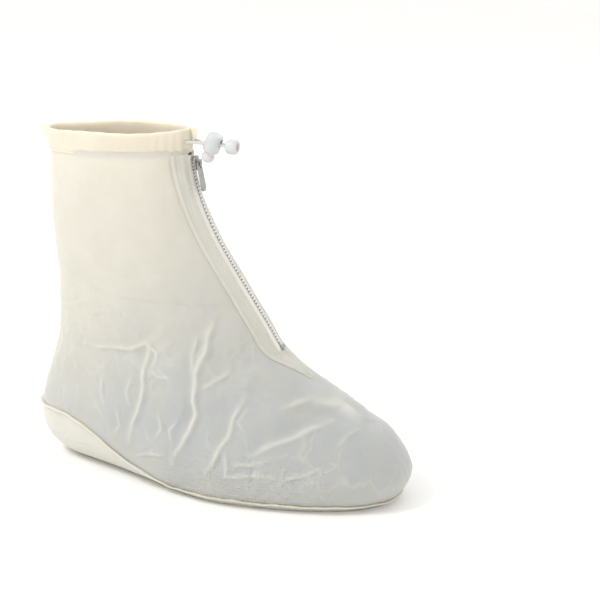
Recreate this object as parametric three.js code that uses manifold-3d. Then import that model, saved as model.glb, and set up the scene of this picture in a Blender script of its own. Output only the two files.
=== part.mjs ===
// A reusable rain shoe cover in translucent PVC film: a soft bootee with a welded sole, a zip down its front with a
// bellows gusset behind it, and a drawstring hem closed by a sprung cord lock.
// Millimetres. +X points to the toe, +Z up, and the sole's flat underside lies on z = 0. It is the cover for a right foot.
import * as THREE from "three";
import { mergeVertices } from "three/addons/utils/BufferGeometryUtils.js";
import Module from "manifold-3d";

const wasm = await Module();
wasm.setup();

// The form of the cover
const FOOT_LENGTH = 306;
const FOOT_WIDTH = 118;
const ANKLE_HEIGHT = 110;
const SHAFT_HEIGHT = 158;
const SHAFT_LENGTH = 121;
const SHAFT_WIDTH = 88;
const SHAFT_SET_BACK = 88;
const RIM_RISE = 9;
const TOE_SWING = 9;
const WALL = 1.2;
const GAP = 0.3;
const FILM_GAP = 0.7;

// The sole and its weld
const SOLE_THICKNESS = 2.4;
const SOLE_WALL = 1.6;
const SEAM_AT_TOE = 6;
const SEAM_AT_HEEL = 43;
const WELT_REACH = 2.2;
const WELT_THICKNESS = 1.6;

// The drawstring hem
const CASING_HEIGHT = 18;
const CASING_THICKNESS = 5.4;
const CASING_PROUD = 0.7;
const CHANNEL_WIDTH = 3.4;
const CHANNEL_HEIGHT = 13;
const HEM_FLARE = 3;
const CORD_DIAMETER = 2.2;
const CORD_EXIT_ARC = 15;

// The zip
const ZIP_FOOT = 112;
const ZIP_BELOW_HEM = 3;
const SLIT_WIDTH = 10;
const PLACKET_WIDTH = 40;
const PLACKET_POINT = 20;
const PLACKET_THICKNESS = 0.9;
const TAPE_REACH = 6.2;
const TAPE_THICKNESS = 0.7;
const COIL_WIDTH = 2.3;
const COIL_HEIGHT = 1.9;
const COIL_PITCH = 5.6;
const STOP_LENGTH = 3;
const GUSSET_WIDTH = 44;
const GUSSET_DEPTH = 2.5;
const GUSSET_THICKNESS = 1;
const SLIDER_LENGTH = 11;
const SLIDER_WIDTH = 8.4;
const SLIDER_PLATE = 1.2;
const PULL_LENGTH = 22;
const PULL_WIDTH = 7.2;
const PULL_THICKNESS = 1.4;
const PULL_LEAN = 7;

// The cord lock and the cord's end
const LOCK_AHEAD = 17;
const LOCK_TILT = 20;
const LOCK_RADIUS = 6.4;
const LOCK_LENGTH = 15;
const PLUNGER_RADIUS = 4.2;
const PLUNGER_FIT = 0.3;
const BUTTON_RADIUS = 4.9;
const BUTTON_LENGTH = 6;
const PLUNGER_TRAVEL = 2;
const LOCK_HOLE_WIDTH = 5.6;
const END_RADIUS = 6;
const END_LENGTH = 9.5;
const END_HOLE_RADIUS = 3.2;
const END_AHEAD = 10.5;

const TOP = ANKLE_HEIGHT + SHAFT_HEIGHT;
const UPPER_TOP = TOP - CASING_HEIGHT - GAP;
const ZIP_TOP = UPPER_TOP - ZIP_BELOW_HEM;

// Level outlines of the foot. height: share of ANKLE_HEIGHT. back and front: shares of FOOT_LENGTH from its middle.
// heel and ball: half widths, shares of FOOT_WIDTH. backFull and frontFull: 2 is an ellipse's end, more is squarer.
const FOOT_SECTIONS = [
  { height: 0.0, back: -0.415, front: 0.44, heel: 0.19, ball: 0.44, backFull: 2.3, frontFull: 2.3 },
  { height: 0.06, back: -0.453, front: 0.472, heel: 0.272, ball: 0.475, backFull: 2.45, frontFull: 2.3 },
  { height: 0.14, back: -0.48, front: 0.492, heel: 0.325, ball: 0.493, backFull: 2.6, frontFull: 2.3 },
  { height: 0.23, back: -0.496, front: 0.5, heel: 0.348, ball: 0.5, backFull: 2.65, frontFull: 2.3 },
  { height: 0.34, back: -0.503, front: 0.484, heel: 0.35, ball: 0.49, backFull: 2.6, frontFull: 2.3 },
  { height: 0.46, back: -0.498, front: 0.446, heel: 0.34, ball: 0.466, backFull: 2.5, frontFull: 2.3 },
  { height: 0.58, back: -0.485, front: 0.387, heel: 0.328, ball: 0.436, backFull: 2.45, frontFull: 2.3 },
  { height: 0.7, back: -0.47, front: 0.315, heel: 0.32, ball: 0.405, backFull: 2.4, frontFull: 2.3 },
  { height: 0.8, back: -0.459, front: 0.253, heel: 0.316, ball: 0.376, backFull: 2.35, frontFull: 2.25 },
  { height: 0.9, back: -0.451, front: 0.203, heel: 0.312, ball: 0.35, backFull: 2.3, frontFull: 2.2 },
];

// Level outlines of the shaft. height: share of SHAFT_HEIGHT. back and front: shares of SHAFT_LENGTH from the mouth's
// middle. heel and ball: half widths, shares of SHAFT_WIDTH.
const SHAFT_SECTIONS = [
  { height: 0.0, back: -0.412, front: 1.13, heel: 0.42, ball: 0.445, backFull: 2.3, frontFull: 2.15 },
  { height: 0.13, back: -0.4, front: 1.015, heel: 0.42, ball: 0.435, backFull: 2.3, frontFull: 2.1 },
  { height: 0.27, back: -0.41, front: 0.893, heel: 0.42, ball: 0.43, backFull: 2.2, frontFull: 2.1 },
  { height: 0.41, back: -0.435, front: 0.77, heel: 0.42, ball: 0.42, backFull: 2.1, frontFull: 2.05 },
  { height: 0.55, back: -0.455, front: 0.655, heel: 0.41, ball: 0.4, backFull: 2.0, frontFull: 2.0 },
  { height: 0.68, back: -0.46, front: 0.558, heel: 0.385, ball: 0.375, backFull: 1.95, frontFull: 2.0 },
  { height: 0.8, back: -0.46, front: 0.5, heel: 0.35, ball: 0.345, backFull: 1.9, frontFull: 2.0 },
  { height: 0.9, back: -0.47, front: 0.485, heel: 0.32, ball: 0.32, backFull: 1.85, frontFull: 2.0 },
  { height: 1.0, back: -0.5, front: 0.48, heel: 0.3, ball: 0.3, backFull: 1.85, frontFull: 2.0 },
];

// Folds and dents. side: -1 right, 1 left. Ends: x as a share of FOOT_LENGTH from its middle, z as a share of TOP.
// reach: half width in mm. rise: height in mm, where a negative one is a dent.
const FOLDS = [
  { side: -1, x0: 0.02, z0: 0.44, x1: -0.09, z1: 0.13, reach: 7, rise: 3.4 },
  { side: -1, x0: 0.06, z0: 0.4, x1: -0.045, z1: 0.12, reach: 8, rise: -3.2 },
  { side: -1, x0: -0.17, z0: 0.36, x1: -0.21, z1: 0.17, reach: 6, rise: 2.8 },
  { side: -1, x0: -0.13, z0: 0.34, x1: -0.15, z1: 0.16, reach: 7, rise: -2.8 },
  { side: -1, x0: -0.36, z0: 0.36, x1: -0.14, z1: 0.33, reach: 6, rise: 3 },
  { side: -1, x0: -0.36, z0: 0.41, x1: -0.18, z1: 0.385, reach: 7, rise: -2.4 },
  { side: -1, x0: 0.12, z0: 0.24, x1: 0.0, z1: 0.07, reach: 6, rise: 2.6 },
  { side: -1, x0: 0.17, z0: 0.25, x1: 0.07, z1: 0.1, reach: 7, rise: -2.6 },
  { side: -1, x0: 0.3, z0: 0.235, x1: 0.1, z1: 0.165, reach: 6, rise: 2.6 },
  { side: -1, x0: 0.36, z0: 0.15, x1: 0.1, z1: 0.11, reach: 7, rise: -2 },
  { side: 1, x0: 0.05, z0: 0.42, x1: -0.12, z1: 0.16, reach: 8, rise: 3 },
  { side: 1, x0: -0.12, z0: 0.4, x1: -0.24, z1: 0.18, reach: 8, rise: -3 },
  { side: 1, x0: -0.38, z0: 0.38, x1: -0.12, z1: 0.33, reach: 7, rise: 2.6 },
  { side: 1, x0: 0.28, z0: 0.23, x1: 0.06, z1: 0.13, reach: 8, rise: 2.8 },
  { side: 1, x0: 0.14, z0: 0.28, x1: 0.02, z1: 0.1, reach: 8, rise: -2.8 },
];

const AROUND = 28;
const CROWDING = 1.3;
const UPPER_ROWS = 26;
const FINE_STEPS = 220;

const smooth = (a, b, x) => {
  const t = THREE.MathUtils.clamp((x - a) / (b - a), 0, 1);
  return t * t * (3 - 2 * t);
};

// Every section in millimetres, foot first, from the two tables above
const sections = [
  ...FOOT_SECTIONS.map((s) => ({
    ...s,
    z: s.height * ANKLE_HEIGHT,
    back: s.back * FOOT_LENGTH,
    front: s.front * FOOT_LENGTH,
    heel: s.heel * FOOT_WIDTH,
    ball: s.ball * FOOT_WIDTH,
  })),
  ...SHAFT_SECTIONS.map((s) => ({
    ...s,
    z: ANKLE_HEIGHT + s.height * SHAFT_HEIGHT,
    back: s.back * SHAFT_LENGTH - SHAFT_SET_BACK,
    front: s.front * SHAFT_LENGTH - SHAFT_SET_BACK,
    heel: s.heel * SHAFT_WIDTH,
    ball: s.ball * SHAFT_WIDTH,
  })),
];

// A smooth curve through one column of the sections, read at height z
function column(key, z) {
  const last = sections.length - 1;
  let i = 0;
  while (i < last - 1 && z > sections[i + 1].z) i += 1;
  const slope = (k) => {
    const a = sections[Math.max(k - 1, 0)];
    const b = sections[Math.min(k + 1, last)];
    return (b[key] - a[key]) / (b.z - a.z);
  };
  const lower = sections[i];
  const upper = sections[i + 1];
  const span = upper.z - lower.z;
  const t = (z - lower.z) / span;
  const rise = 3 * t * t - 2 * t * t * t;
  const swing = t * (1 - t);
  return (
    lower[key] * (1 - rise) +
    upper[key] * rise +
    swing * span * (slope(i) * (1 - t) - slope(i + 1) * t)
  );
}

// One side of the level outline at height z, from the front round to the back, with its running length
const outlines = new Map();
function outline(z) {
  if (outlines.has(z)) return outlines.get(z);
  const [back, front, heel, ball, backFull, frontFull] = [
    "back", "front", "heel", "ball", "backFull", "frontFull",
  ].map((key) => column(key, z));
  const middle = (back + front) / 2;
  const half = (front - back) / 2;
  const points = [];
  const lengths = [0];
  for (let i = 0; i <= FINE_STEPS; i += 1) {
    const angle = (Math.PI * i) / FINE_STEPS;
    const c = i === FINE_STEPS ? -1 : Math.cos(angle);
    const power = 2 / (c > 0 ? frontFull : backFull);
    const along = Math.sign(c) * Math.abs(c) ** power;
    const across = i === FINE_STEPS ? 0 : Math.sin(angle) ** power;
    const width = heel + (ball - heel) * smooth(-0.8, 0.15, along);
    points.push([middle + half * along, width * across]);
    if (i) {
      lengths.push(
        lengths[i - 1] +
          Math.hypot(points[i][0] - points[i - 1][0], points[i][1] - points[i - 1][1]),
      );
    }
  }
  const made = { points, lengths, girth: lengths[FINE_STEPS] };
  outlines.set(z, made);
  return made;
}

// A point of the plain form. share runs from -1 at the back along the right side to 0 at the front, and on to 1.
function plain(z, share) {
  const { points, lengths, girth } = outline(z);
  const length = Math.min(Math.abs(share), 1) * girth;
  let low = 0;
  let high = FINE_STEPS;
  while (high - low > 1) {
    const middle = (low + high) >> 1;
    if (lengths[middle] > length) high = middle;
    else low = middle;
  }
  const t = (length - lengths[low]) / (lengths[high] - lengths[low]);
  const x = THREE.MathUtils.lerp(points[low][0], points[high][0], t);
  const y = THREE.MathUtils.lerp(points[low][1], points[high][1], t) * (share < 0 ? -1 : 1);
  const forefoot = smooth(-0.1 * FOOT_LENGTH, 0.5 * FOOT_LENGTH, x);
  return new THREE.Vector3(x, y + TOE_SWING * forefoot, z);
}

// How far the folds push the film out at a place on one side
function foldRise(x, z, side) {
  let rise = 0;
  for (const fold of FOLDS) {
    if (fold.side !== side) continue;
    const start = [fold.x0 * FOOT_LENGTH, fold.z0 * TOP];
    const run = [fold.x1 * FOOT_LENGTH - start[0], fold.z1 * TOP - start[1]];
    const length = Math.hypot(...run);
    const along = ((x - start[0]) * run[0] + (z - start[1]) * run[1]) / (length * length);
    const away = ((x - start[0]) * run[1] - (z - start[1]) * run[0]) / length;
    const fade = smooth(-0.12, 0.25, along) * (1 - smooth(0.75, 1.12, along));
    rise += fold.rise * fade * Math.exp(-((away / fold.reach) ** 2));
  }
  return rise;
}

// A point of the film's outer face, folds included
function surface(z, share) {
  const p = plain(z, share);
  const step = 0.004;
  const ahead = plain(z, Math.min(share + step, 1));
  const behind = plain(z, Math.max(share - step, -1));
  const outward = new THREE.Vector3(ahead.y - behind.y, behind.x - ahead.x, 0).normalize();
  const clearOfSeam = smooth(0.06, 0.12, z / TOP) * smooth(0.1, 0.2, Math.abs(share));
  const rise = foldRise(p.x, z, Math.sign(share)) * clearOfSeam;
  return p.addScaledVector(outward, rise);
}

// The outward direction of the film at a place
function outwardAt(z, share) {
  const step = 0.004;
  const lift = 0.5;
  const low = Math.max(z - lift, 0);
  const high = Math.min(z + lift, TOP);
  const round = surface(z, Math.min(share + step, 1)).sub(surface(z, Math.max(share - step, -1)));
  const up = surface(high, share).sub(surface(low, share));
  return round.cross(up).normalize();
}

const offset = (z, share, distance) =>
  surface(z, share).addScaledVector(outwardAt(z, share), distance);

// A closed solid between two faces of rows by columns of points. ring joins the last column to the first.
function between(rows, columns, inner, outer, ring) {
  const points = [];
  const faces = [];
  const layer = [];
  [inner, outer].forEach((face) => {
    layer.push(points.length);
    for (let i = 0; i < rows; i += 1) {
      for (let j = 0; j < columns; j += 1) points.push(face(i, j));
    }
  });
  const at = (side, i, j) => layer[side] + i * columns + (j % columns);
  const quad = (a, b, c, d) => faces.push([a, b, c], [a, c, d]);
  const reach = ring ? columns : columns - 1;
  for (let j = 0; j < reach; j += 1) {
    for (let i = 0; i < rows - 1; i += 1) {
      quad(at(1, i, j), at(1, i, j + 1), at(1, i + 1, j + 1), at(1, i + 1, j));
      quad(at(0, i, j), at(0, i + 1, j), at(0, i + 1, j + 1), at(0, i, j + 1));
    }
    quad(at(0, 0, j), at(0, 0, j + 1), at(1, 0, j + 1), at(1, 0, j));
    quad(at(1, rows - 1, j), at(1, rows - 1, j + 1), at(0, rows - 1, j + 1), at(0, rows - 1, j));
  }
  if (!ring) {
    const end = columns - 1;
    for (let i = 0; i < rows - 1; i += 1) {
      quad(at(0, i, 0), at(1, i, 0), at(1, i + 1, 0), at(0, i + 1, 0));
      quad(at(1, i, end), at(0, i, end), at(0, i + 1, end), at(1, i + 1, end));
    }
  }
  return closed(points, faces);
}

// A geometry from points and faces, turned to face outwards
function closed(points, faces) {
  let volume = 0;
  faces.forEach(([a, b, c]) => {
    volume += points[a].dot(points[b].clone().cross(points[c]));
  });
  const turned = volume < 0 ? faces.map(([a, b, c]) => [a, c, b]) : faces;
  return new THREE.BufferGeometry()
    .setFromPoints(points)
    .setIndex(turned.flat());
}

function solid(geometry) {
  const bare = geometry.clone();
  bare.deleteAttribute("normal");
  bare.deleteAttribute("uv");
  const merged = mergeVertices(bare, 1e-4);
  return new wasm.Manifold(
    new wasm.Mesh({
      numProp: 3,
      vertProperties: merged.attributes.position.array,
      triVerts: new Uint32Array(merged.index.array),
    }),
  );
}

function geometryOf(made) {
  const mesh = made.getMesh();
  return new THREE.BufferGeometry()
    .setAttribute("position", new THREE.BufferAttribute(mesh.vertProperties, 3))
    .setIndex(new THREE.BufferAttribute(mesh.triVerts, 1));
}

const join = (first, ...others) =>
  geometryOf(others.reduce((sum, other) => sum.add(solid(other)), solid(first)));
const cut = (first, ...others) =>
  geometryOf(others.reduce((rest, other) => rest.subtract(solid(other)), solid(first)));

// Places round the outline, closest together at the front where it bends most
const shares = Array.from({ length: 2 * AROUND }, (_, j) => {
  const t = j / AROUND - 1;
  return Math.sign(t) * Math.abs(t) ** CROWDING;
});

// Height of the weld between sole and upper, which climbs round the heel
function seamHeight(share) {
  const { x } = plain(SEAM_AT_TOE, share);
  const climb = smooth(0.06 * FOOT_LENGTH, 0.345 * FOOT_LENGTH, -x);
  return THREE.MathUtils.lerp(SEAM_AT_TOE, SEAM_AT_HEEL, climb);
}

function soleGeometry() {
  const rows = 4;
  const points = [];
  const faces = [];
  const count = shares.length;
  const top = shares.map((share) => seamHeight(share) - GAP / 2);
  for (let i = 0; i < rows; i += 1) {
    shares.forEach((share, j) => points.push(surface((top[j] * i) / (rows - 1), share)));
  }
  for (let i = rows - 1; i >= 0; i -= 1) {
    shares.forEach((share, j) => {
      const z = THREE.MathUtils.lerp(SOLE_THICKNESS, top[j], i / (rows - 1));
      points.push(offset(z, share, -SOLE_WALL).setZ(z));
    });
  }
  const under = points.push(new THREE.Vector3(0, 0, 0)) - 1;
  const floor = points.push(new THREE.Vector3(0, 0, SOLE_THICKNESS)) - 1;
  for (let j = 0; j < count; j += 1) {
    const next = (j + 1) % count;
    for (let i = 0; i < 2 * rows - 1; i += 1) {
      const [a, b] = [i * count, (i + 1) * count];
      faces.push([a + j, a + next, b + next], [a + j, b + next, b + j]);
    }
    const last = (2 * rows - 1) * count;
    faces.push([under, next, j], [floor, last + j, last + next]);
  }
  return closed(points, faces);
}

function weltGeometry() {
  const level = (share, i) => seamHeight(share) + (i ? 0.5 : -0.5) * WELT_THICKNESS;
  return between(
    2,
    shares.length,
    (i, j) => offset(level(shares[j], i), shares[j], FILM_GAP).setZ(level(shares[j], i)),
    (i, j) => offset(level(shares[j], i), shares[j], FILM_GAP + WELT_REACH).setZ(level(shares[j], i)),
    true,
  );
}

// The share of the outline that lies a given length round from the front, at height z
const shareOf = (z, arc) => arc / outline(z).girth;

// A strip of film on the front, from arc to arc round it, between two offsets from the film's outer face
function strip({ bottom, top, rows, columns, arcs, lower, upper }) {
  const place = (i, j) => {
    const z = THREE.MathUtils.lerp(bottom, top, i / (rows - 1));
    const [from, to] = arcs(z);
    const arc = THREE.MathUtils.lerp(from, to, j / (columns - 1));
    return { z, arc, share: shareOf(z, arc) };
  };
  const face = (distance) => (i, j) => {
    const { z, arc, share } = place(i, j);
    return offset(z, share, distance(arc));
  };
  return between(rows, columns, face(lower), face(upper), false);
}

function slitCutter() {
  const half = SLIT_WIDTH / 2;
  return strip({
    bottom: ZIP_FOOT,
    top: UPPER_TOP + WALL,
    rows: 16,
    columns: 5,
    arcs: () => [-half, half],
    lower: () => -2.5 * WALL,
    upper: () => 2 * WALL,
  });
}

function upperGeometry() {
  const columns = shares.length;
  const height = (i, j) => {
    const foot = seamHeight(shares[j]) + GAP / 2;
    return THREE.MathUtils.lerp(foot, UPPER_TOP, i / (UPPER_ROWS - 1));
  };
  const shell = between(
    UPPER_ROWS,
    columns,
    (i, j) => offset(height(i, j), shares[j], -WALL).setZ(height(i, j)),
    (i, j) => surface(height(i, j), shares[j]),
    true,
  );
  return cut(shell, slitCutter());
}

function gussetGeometry() {
  const half = GUSSET_WIDTH / 2;
  const seat = -WALL - FILM_GAP;
  const deep = (arc) => seat - GUSSET_DEPTH * (1 - smooth(0.35 * half, 0.75 * half, Math.abs(arc)));
  return strip({
    bottom: ZIP_FOOT - 12,
    top: UPPER_TOP - GAP,
    rows: 22,
    columns: 11,
    arcs: () => [-half, half],
    lower: (arc) => deep(arc) - GUSSET_THICKNESS,
    upper: deep,
  });
}

function placketGeometry() {
  const half = PLACKET_WIDTH / 2;
  const bottom = ZIP_FOOT - PLACKET_POINT;
  const panel = strip({
    bottom,
    top: UPPER_TOP,
    rows: 18,
    columns: 9,
    arcs: (z) => {
      const reach = half * (0.12 + 0.88 * smooth(bottom - 4, ZIP_FOOT + 4, z));
      return [-reach, reach];
    },
    lower: () => FILM_GAP,
    upper: () => FILM_GAP + PLACKET_THICKNESS,
  });
  const opening = strip({
    bottom: ZIP_FOOT - GAP,
    top: UPPER_TOP + WALL,
    rows: 16,
    columns: 5,
    arcs: () => [-TAPE_REACH - GAP, TAPE_REACH + GAP],
    lower: () => -WALL,
    upper: () => FILM_GAP + 2 * PLACKET_THICKNESS,
  });
  return cut(panel, opening);
}

function tapeGeometry(side) {
  const near = COIL_WIDTH + 2 * GAP;
  return strip({
    bottom: ZIP_FOOT,
    top: ZIP_TOP,
    rows: 16,
    columns: 2,
    arcs: () => [side * near, side * TAPE_REACH],
    lower: () => FILM_GAP,
    upper: () => FILM_GAP + TAPE_THICKNESS,
  });
}

// One side's coil, whose height swells once for each turn
function coilGeometry(side) {
  const length = ZIP_TOP - ZIP_FOOT - 3;
  const turns = Math.round(length / COIL_PITCH);
  const rows = 2 * turns + 1;
  const place = (i, j) => {
    const z = ZIP_FOOT + STOP_LENGTH + GAP + ((length - STOP_LENGTH) * i) / (rows - 1);
    const arc = side * (GAP / 2 + (COIL_WIDTH * j) / 2);
    return [z, shareOf(z, arc)];
  };
  return between(
    rows,
    3,
    (i, j) => offset(...place(i, j), FILM_GAP),
    (i, j) => {
      const crown = j === 1 ? 1 : 0.55;
      const turn = i % 2 ? 1 : 0.72;
      return offset(...place(i, j), FILM_GAP + COIL_HEIGHT * crown * turn);
    },
    false,
  );
}

// The upper half of the shaft slopes up to the front, so that the rim stands higher there than at the back.
const RISE_FOOT = ANKLE_HEIGHT + SHAFT_HEIGHT / 2;
const RIM_BACK = surface(UPPER_TOP, 1).x;
const RIM_FRONT = surface(UPPER_TOP, 0).x;

const riseAt = (x, z) =>
  RIM_RISE * smooth(RISE_FOOT, UPPER_TOP, z) * THREE.MathUtils.clamp((x - RIM_BACK) / (RIM_FRONT - RIM_BACK), 0, 1);

const raised = (point) => point.setZ(point.z + riseAt(point.x, point.z));

function raisedGeometry(geometry) {
  const at = geometry.getAttribute("position");
  const point = new THREE.Vector3();
  for (let i = 0; i < at.count; i += 1) {
    raised(point.fromBufferAttribute(at, i));
    at.setXYZ(i, point.x, point.y, point.z);
  }
  return geometry;
}

// A frame standing on the film at the front centre: x out of the film, y to the left, z up along the zip
function zipFrame(z) {
  const along = raised(surface(z + 1, 0)).sub(raised(surface(z - 1, 0))).setY(0).normalize();
  const out = new THREE.Vector3(along.z, 0, -along.x);
  return new THREE.Matrix4()
    .makeBasis(out, new THREE.Vector3(0, 1, 0), along)
    .setPosition(raised(surface(z, 0)));
}

const SLIDER_Z = ZIP_TOP - SLIDER_LENGTH / 2 + 1;
const ON_COIL = FILM_GAP + COIL_HEIGHT + 1.4 * GAP;
const PLATE_TOP = ON_COIL + SLIDER_PLATE;
const BAR_RADIUS = 0.8;
const BAIL_WIDTH = 2.2;
const BAIL_LEG = 1.1;
const TUNNEL_LENGTH = 3;
const TUNNEL_HEIGHT = 2.4;
const BAIL_TOP = PLATE_TOP + TUNNEL_HEIGHT + BAIL_LEG;
const BAR_OUT = PLATE_TOP + TUNNEL_HEIGHT / 2;

// A box from corner to corner
function box(x0, x1, y0, y1, z0, z1) {
  return new THREE.BoxGeometry(x1 - x0, y1 - y0, z1 - z0)
    .translate((x0 + x1) / 2, (y0 + y1) / 2, (z0 + z1) / 2);
}

// The slider: a plate over the coils and one behind them in the slit, a post that parts the coils, and a bail
function sliderGeometry() {
  const half = SLIDER_LENGTH / 2;
  const back = -WALL - SLIDER_PLATE - GAP;
  const outlineShape = new THREE.Shape();
  const wide = SLIDER_WIDTH / 2;
  outlineShape.moveTo(-0.55 * wide, -half);
  outlineShape.lineTo(0.55 * wide, -half);
  outlineShape.quadraticCurveTo(wide, 0, wide, 0.45 * half);
  outlineShape.quadraticCurveTo(wide, half, 0, half);
  outlineShape.quadraticCurveTo(-wide, half, -wide, 0.45 * half);
  outlineShape.quadraticCurveTo(-wide, 0, -0.55 * wide, -half);
  const plate = new THREE.ExtrudeGeometry(outlineShape, {
    depth: SLIDER_PLATE, bevelEnabled: false, curveSegments: 5,
  }).applyMatrix4(
    new THREE.Matrix4().makeBasis(
      new THREE.Vector3(0, 1, 0), new THREE.Vector3(0, 0, 1), new THREE.Vector3(1, 0, 0),
    ),
  );
  const front = plate.clone().translate(ON_COIL, 0, 0);
  const rear = plate.clone().translate(back, 0, 0);
  const post = box(back + 0.1, ON_COIL + 0.1, -1, 1, half - 2.2, half - 0.6);
  const legs = TUNNEL_LENGTH / 2 + BAIL_LEG;
  const bail = cut(
    box(PLATE_TOP - 0.2, BAIL_TOP, -BAIL_WIDTH / 2, BAIL_WIDTH / 2, -legs, legs),
    box(PLATE_TOP, PLATE_TOP + TUNNEL_HEIGHT, -BAIL_WIDTH, BAIL_WIDTH, -TUNNEL_LENGTH / 2, TUNNEL_LENGTH / 2),
  );
  return join(front, rear, post, bail).applyMatrix4(zipFrame(SLIDER_Z));
}

// The pull: a tab with a window whose crossbar hangs in the bail
function pullGeometry() {
  const half = PULL_WIDTH / 2;
  const window = BAIL_WIDTH / 2 + 0.6;
  const span = TUNNEL_LENGTH / 2 + BAIL_LEG + 1.7;
  const shape = new THREE.Shape();
  const shoulder = BAR_RADIUS;
  shape.moveTo(-half + 0.8, shoulder);
  shape.lineTo(half - 0.8, shoulder);
  shape.lineTo(half - 0.2, -span);
  shape.lineTo(half, -PULL_LENGTH + half);
  shape.absarc(0, -PULL_LENGTH + half, half, 0, -Math.PI, true);
  shape.lineTo(-half + 0.2, -span);
  const hole = new THREE.Path();
  hole.moveTo(-window, -span);
  hole.lineTo(window, -span);
  hole.lineTo(window, shoulder + 1);
  hole.lineTo(-window, shoulder + 1);
  const tab = new THREE.ExtrudeGeometry(shape, {
    depth: PULL_THICKNESS, bevelEnabled: false, curveSegments: 10,
  }).translate(0, 0, -PULL_THICKNESS / 2);
  const gap = new THREE.BoxGeometry(2 * window, span + shoulder + 2, 3 * PULL_THICKNESS)
    .translate(0, (shoulder + 2 - span) / 2, 0);
  const bar = new THREE.CylinderGeometry(BAR_RADIUS, BAR_RADIUS, 2 * window + 1, 10).rotateZ(Math.PI / 2);
  const made = geometryOf(solid(tab).subtract(solid(gap)).add(solid(bar)));
  return made
    .applyMatrix4(
      new THREE.Matrix4().makeBasis(
        new THREE.Vector3(0, 1, 0), new THREE.Vector3(0, 0, 1), new THREE.Vector3(1, 0, 0),
      ),
    )
    .rotateY(THREE.MathUtils.degToRad(-PULL_LEAN))
    .translate(BAR_OUT, 0, 0)
    .applyMatrix4(zipFrame(SLIDER_Z));
}

function bottomStopGeometry() {
  const reach = COIL_WIDTH + GAP;
  return box(FILM_GAP + GAP, FILM_GAP + COIL_HEIGHT + 0.4, -reach, reach, 0, STOP_LENGTH)
    .applyMatrix4(zipFrame(ZIP_FOOT));
}

// The hem: a folded band round the mouth with the cord's channel through it. It flares a little at its rim.
const MID_CASING = TOP - CASING_HEIGHT / 2;
const CHANNEL_AT = CASING_PROUD - CASING_THICKNESS / 2;

// How far the hem leans out at its back, rising evenly from its lower edge to its rim
const hemFlare = (z, share) =>
  HEM_FLARE * smooth(0.7, 1, Math.abs(share)) * (0.5 + (z - MID_CASING) / CASING_HEIGHT);

function hemBand(width, height, bevel) {
  const corners = [
    [-0.5, -0.5 + bevel], [-0.5 + bevel, -0.5], [0.5 - bevel, -0.5], [0.5, -0.5 + bevel],
    [0.5, 0.5 - bevel], [0.5 - bevel, 0.5], [-0.5 + bevel, 0.5], [-0.5, 0.5 - bevel],
  ];
  const count = corners.length;
  const points = [];
  const faces = [];
  shares.forEach((share) => {
    const out = outwardAt(MID_CASING, share).setZ(0).normalize();
    corners.forEach(([across, up]) => {
      const z = MID_CASING + up * height;
      points.push(
        surface(MID_CASING, share)
          .addScaledVector(out, CHANNEL_AT + across * width + hemFlare(z, share))
          .setZ(z),
      );
    });
  });
  shares.forEach((_, j) => {
    const a = j * count;
    const b = ((j + 1) % shares.length) * count;
    for (let i = 0; i < count; i += 1) {
      const next = (i + 1) % count;
      faces.push([a + i, b + i, b + next], [a + i, b + next, a + next]);
    }
  });
  return closed(points, faces);
}

const tube = (route, radius, steps, sides) => {
  const ring = new THREE.Shape(
    Array.from({ length: sides }, (_, i) => {
      const angle = (2 * Math.PI * (i + 0.5)) / sides;
      return new THREE.Vector2(radius * Math.cos(angle), radius * Math.sin(angle));
    }),
  );
  return new THREE.ExtrudeGeometry(ring, { steps, bevelEnabled: false, extrudePath: route });
};

// Where the cord lock's middle lies, and the line of its plunger
const FRONT = surface(MID_CASING, 0).x + CASING_PROUD;
const LOCK_AT = new THREE.Vector3(FRONT + LOCK_AHEAD, 0, MID_CASING - 1);
const LOCK_TURN = THREE.MathUtils.degToRad(LOCK_TILT);
const CORD_APART = CORD_DIAMETER / 2 + 0.3;
const END_AT = LOCK_AT.clone().add(new THREE.Vector3(END_AHEAD, 0, -0.6));

// The cord's middle line where it leaves the hem on one side, passes the lock and enters the cord end
function tailRoute(side) {
  const leave = channelPoint(side * CORD_EXIT_ARC);
  const before = channelPoint(side * (CORD_EXIT_ARC + 6));
  const heading = leave.clone().sub(before).normalize();
  const clear = leave.clone().addScaledVector(heading, 5);
  return [
    leave,
    clear,
    new THREE.Vector3(LOCK_AT.x - LOCK_RADIUS - 4, side * (CORD_APART + 0.9), LOCK_AT.z),
    new THREE.Vector3(LOCK_AT.x - LOCK_RADIUS + 1, side * (CORD_APART + 0.1), LOCK_AT.z),
    new THREE.Vector3(LOCK_AT.x + LOCK_RADIUS, side * CORD_APART, LOCK_AT.z),
    new THREE.Vector3(END_AT.x + 2, side * CORD_APART, END_AT.z),
    new THREE.Vector3(END_AT.x + END_LENGTH - 4.4, side * CORD_APART, END_AT.z),
  ];
}

// The middle of the hem's channel, a given length round from the front
function channelPoint(arc) {
  const share = shareOf(MID_CASING, arc);
  const out = outwardAt(MID_CASING, share).setZ(0).normalize();
  return surface(MID_CASING, share).addScaledVector(out, CHANNEL_AT + hemFlare(MID_CASING, share));
}

const TAIL_START = 0.16;
const tailCurve = (side) => new THREE.CatmullRomCurve3(tailRoute(side), false, "centripetal");

// The stretch of a curve from one share of its length to another
function stretch(curve, from, to, count) {
  const points = Array.from({ length: count }, (_, i) =>
    curve.getPointAt(THREE.MathUtils.lerp(from, to, i / (count - 1))),
  );
  return new THREE.CatmullRomCurve3(points, false, "centripetal");
}

function tailGeometry(side) {
  return tube(stretch(tailCurve(side), TAIL_START, 1, 16), CORD_DIAMETER / 2, 16, 8);
}

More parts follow.
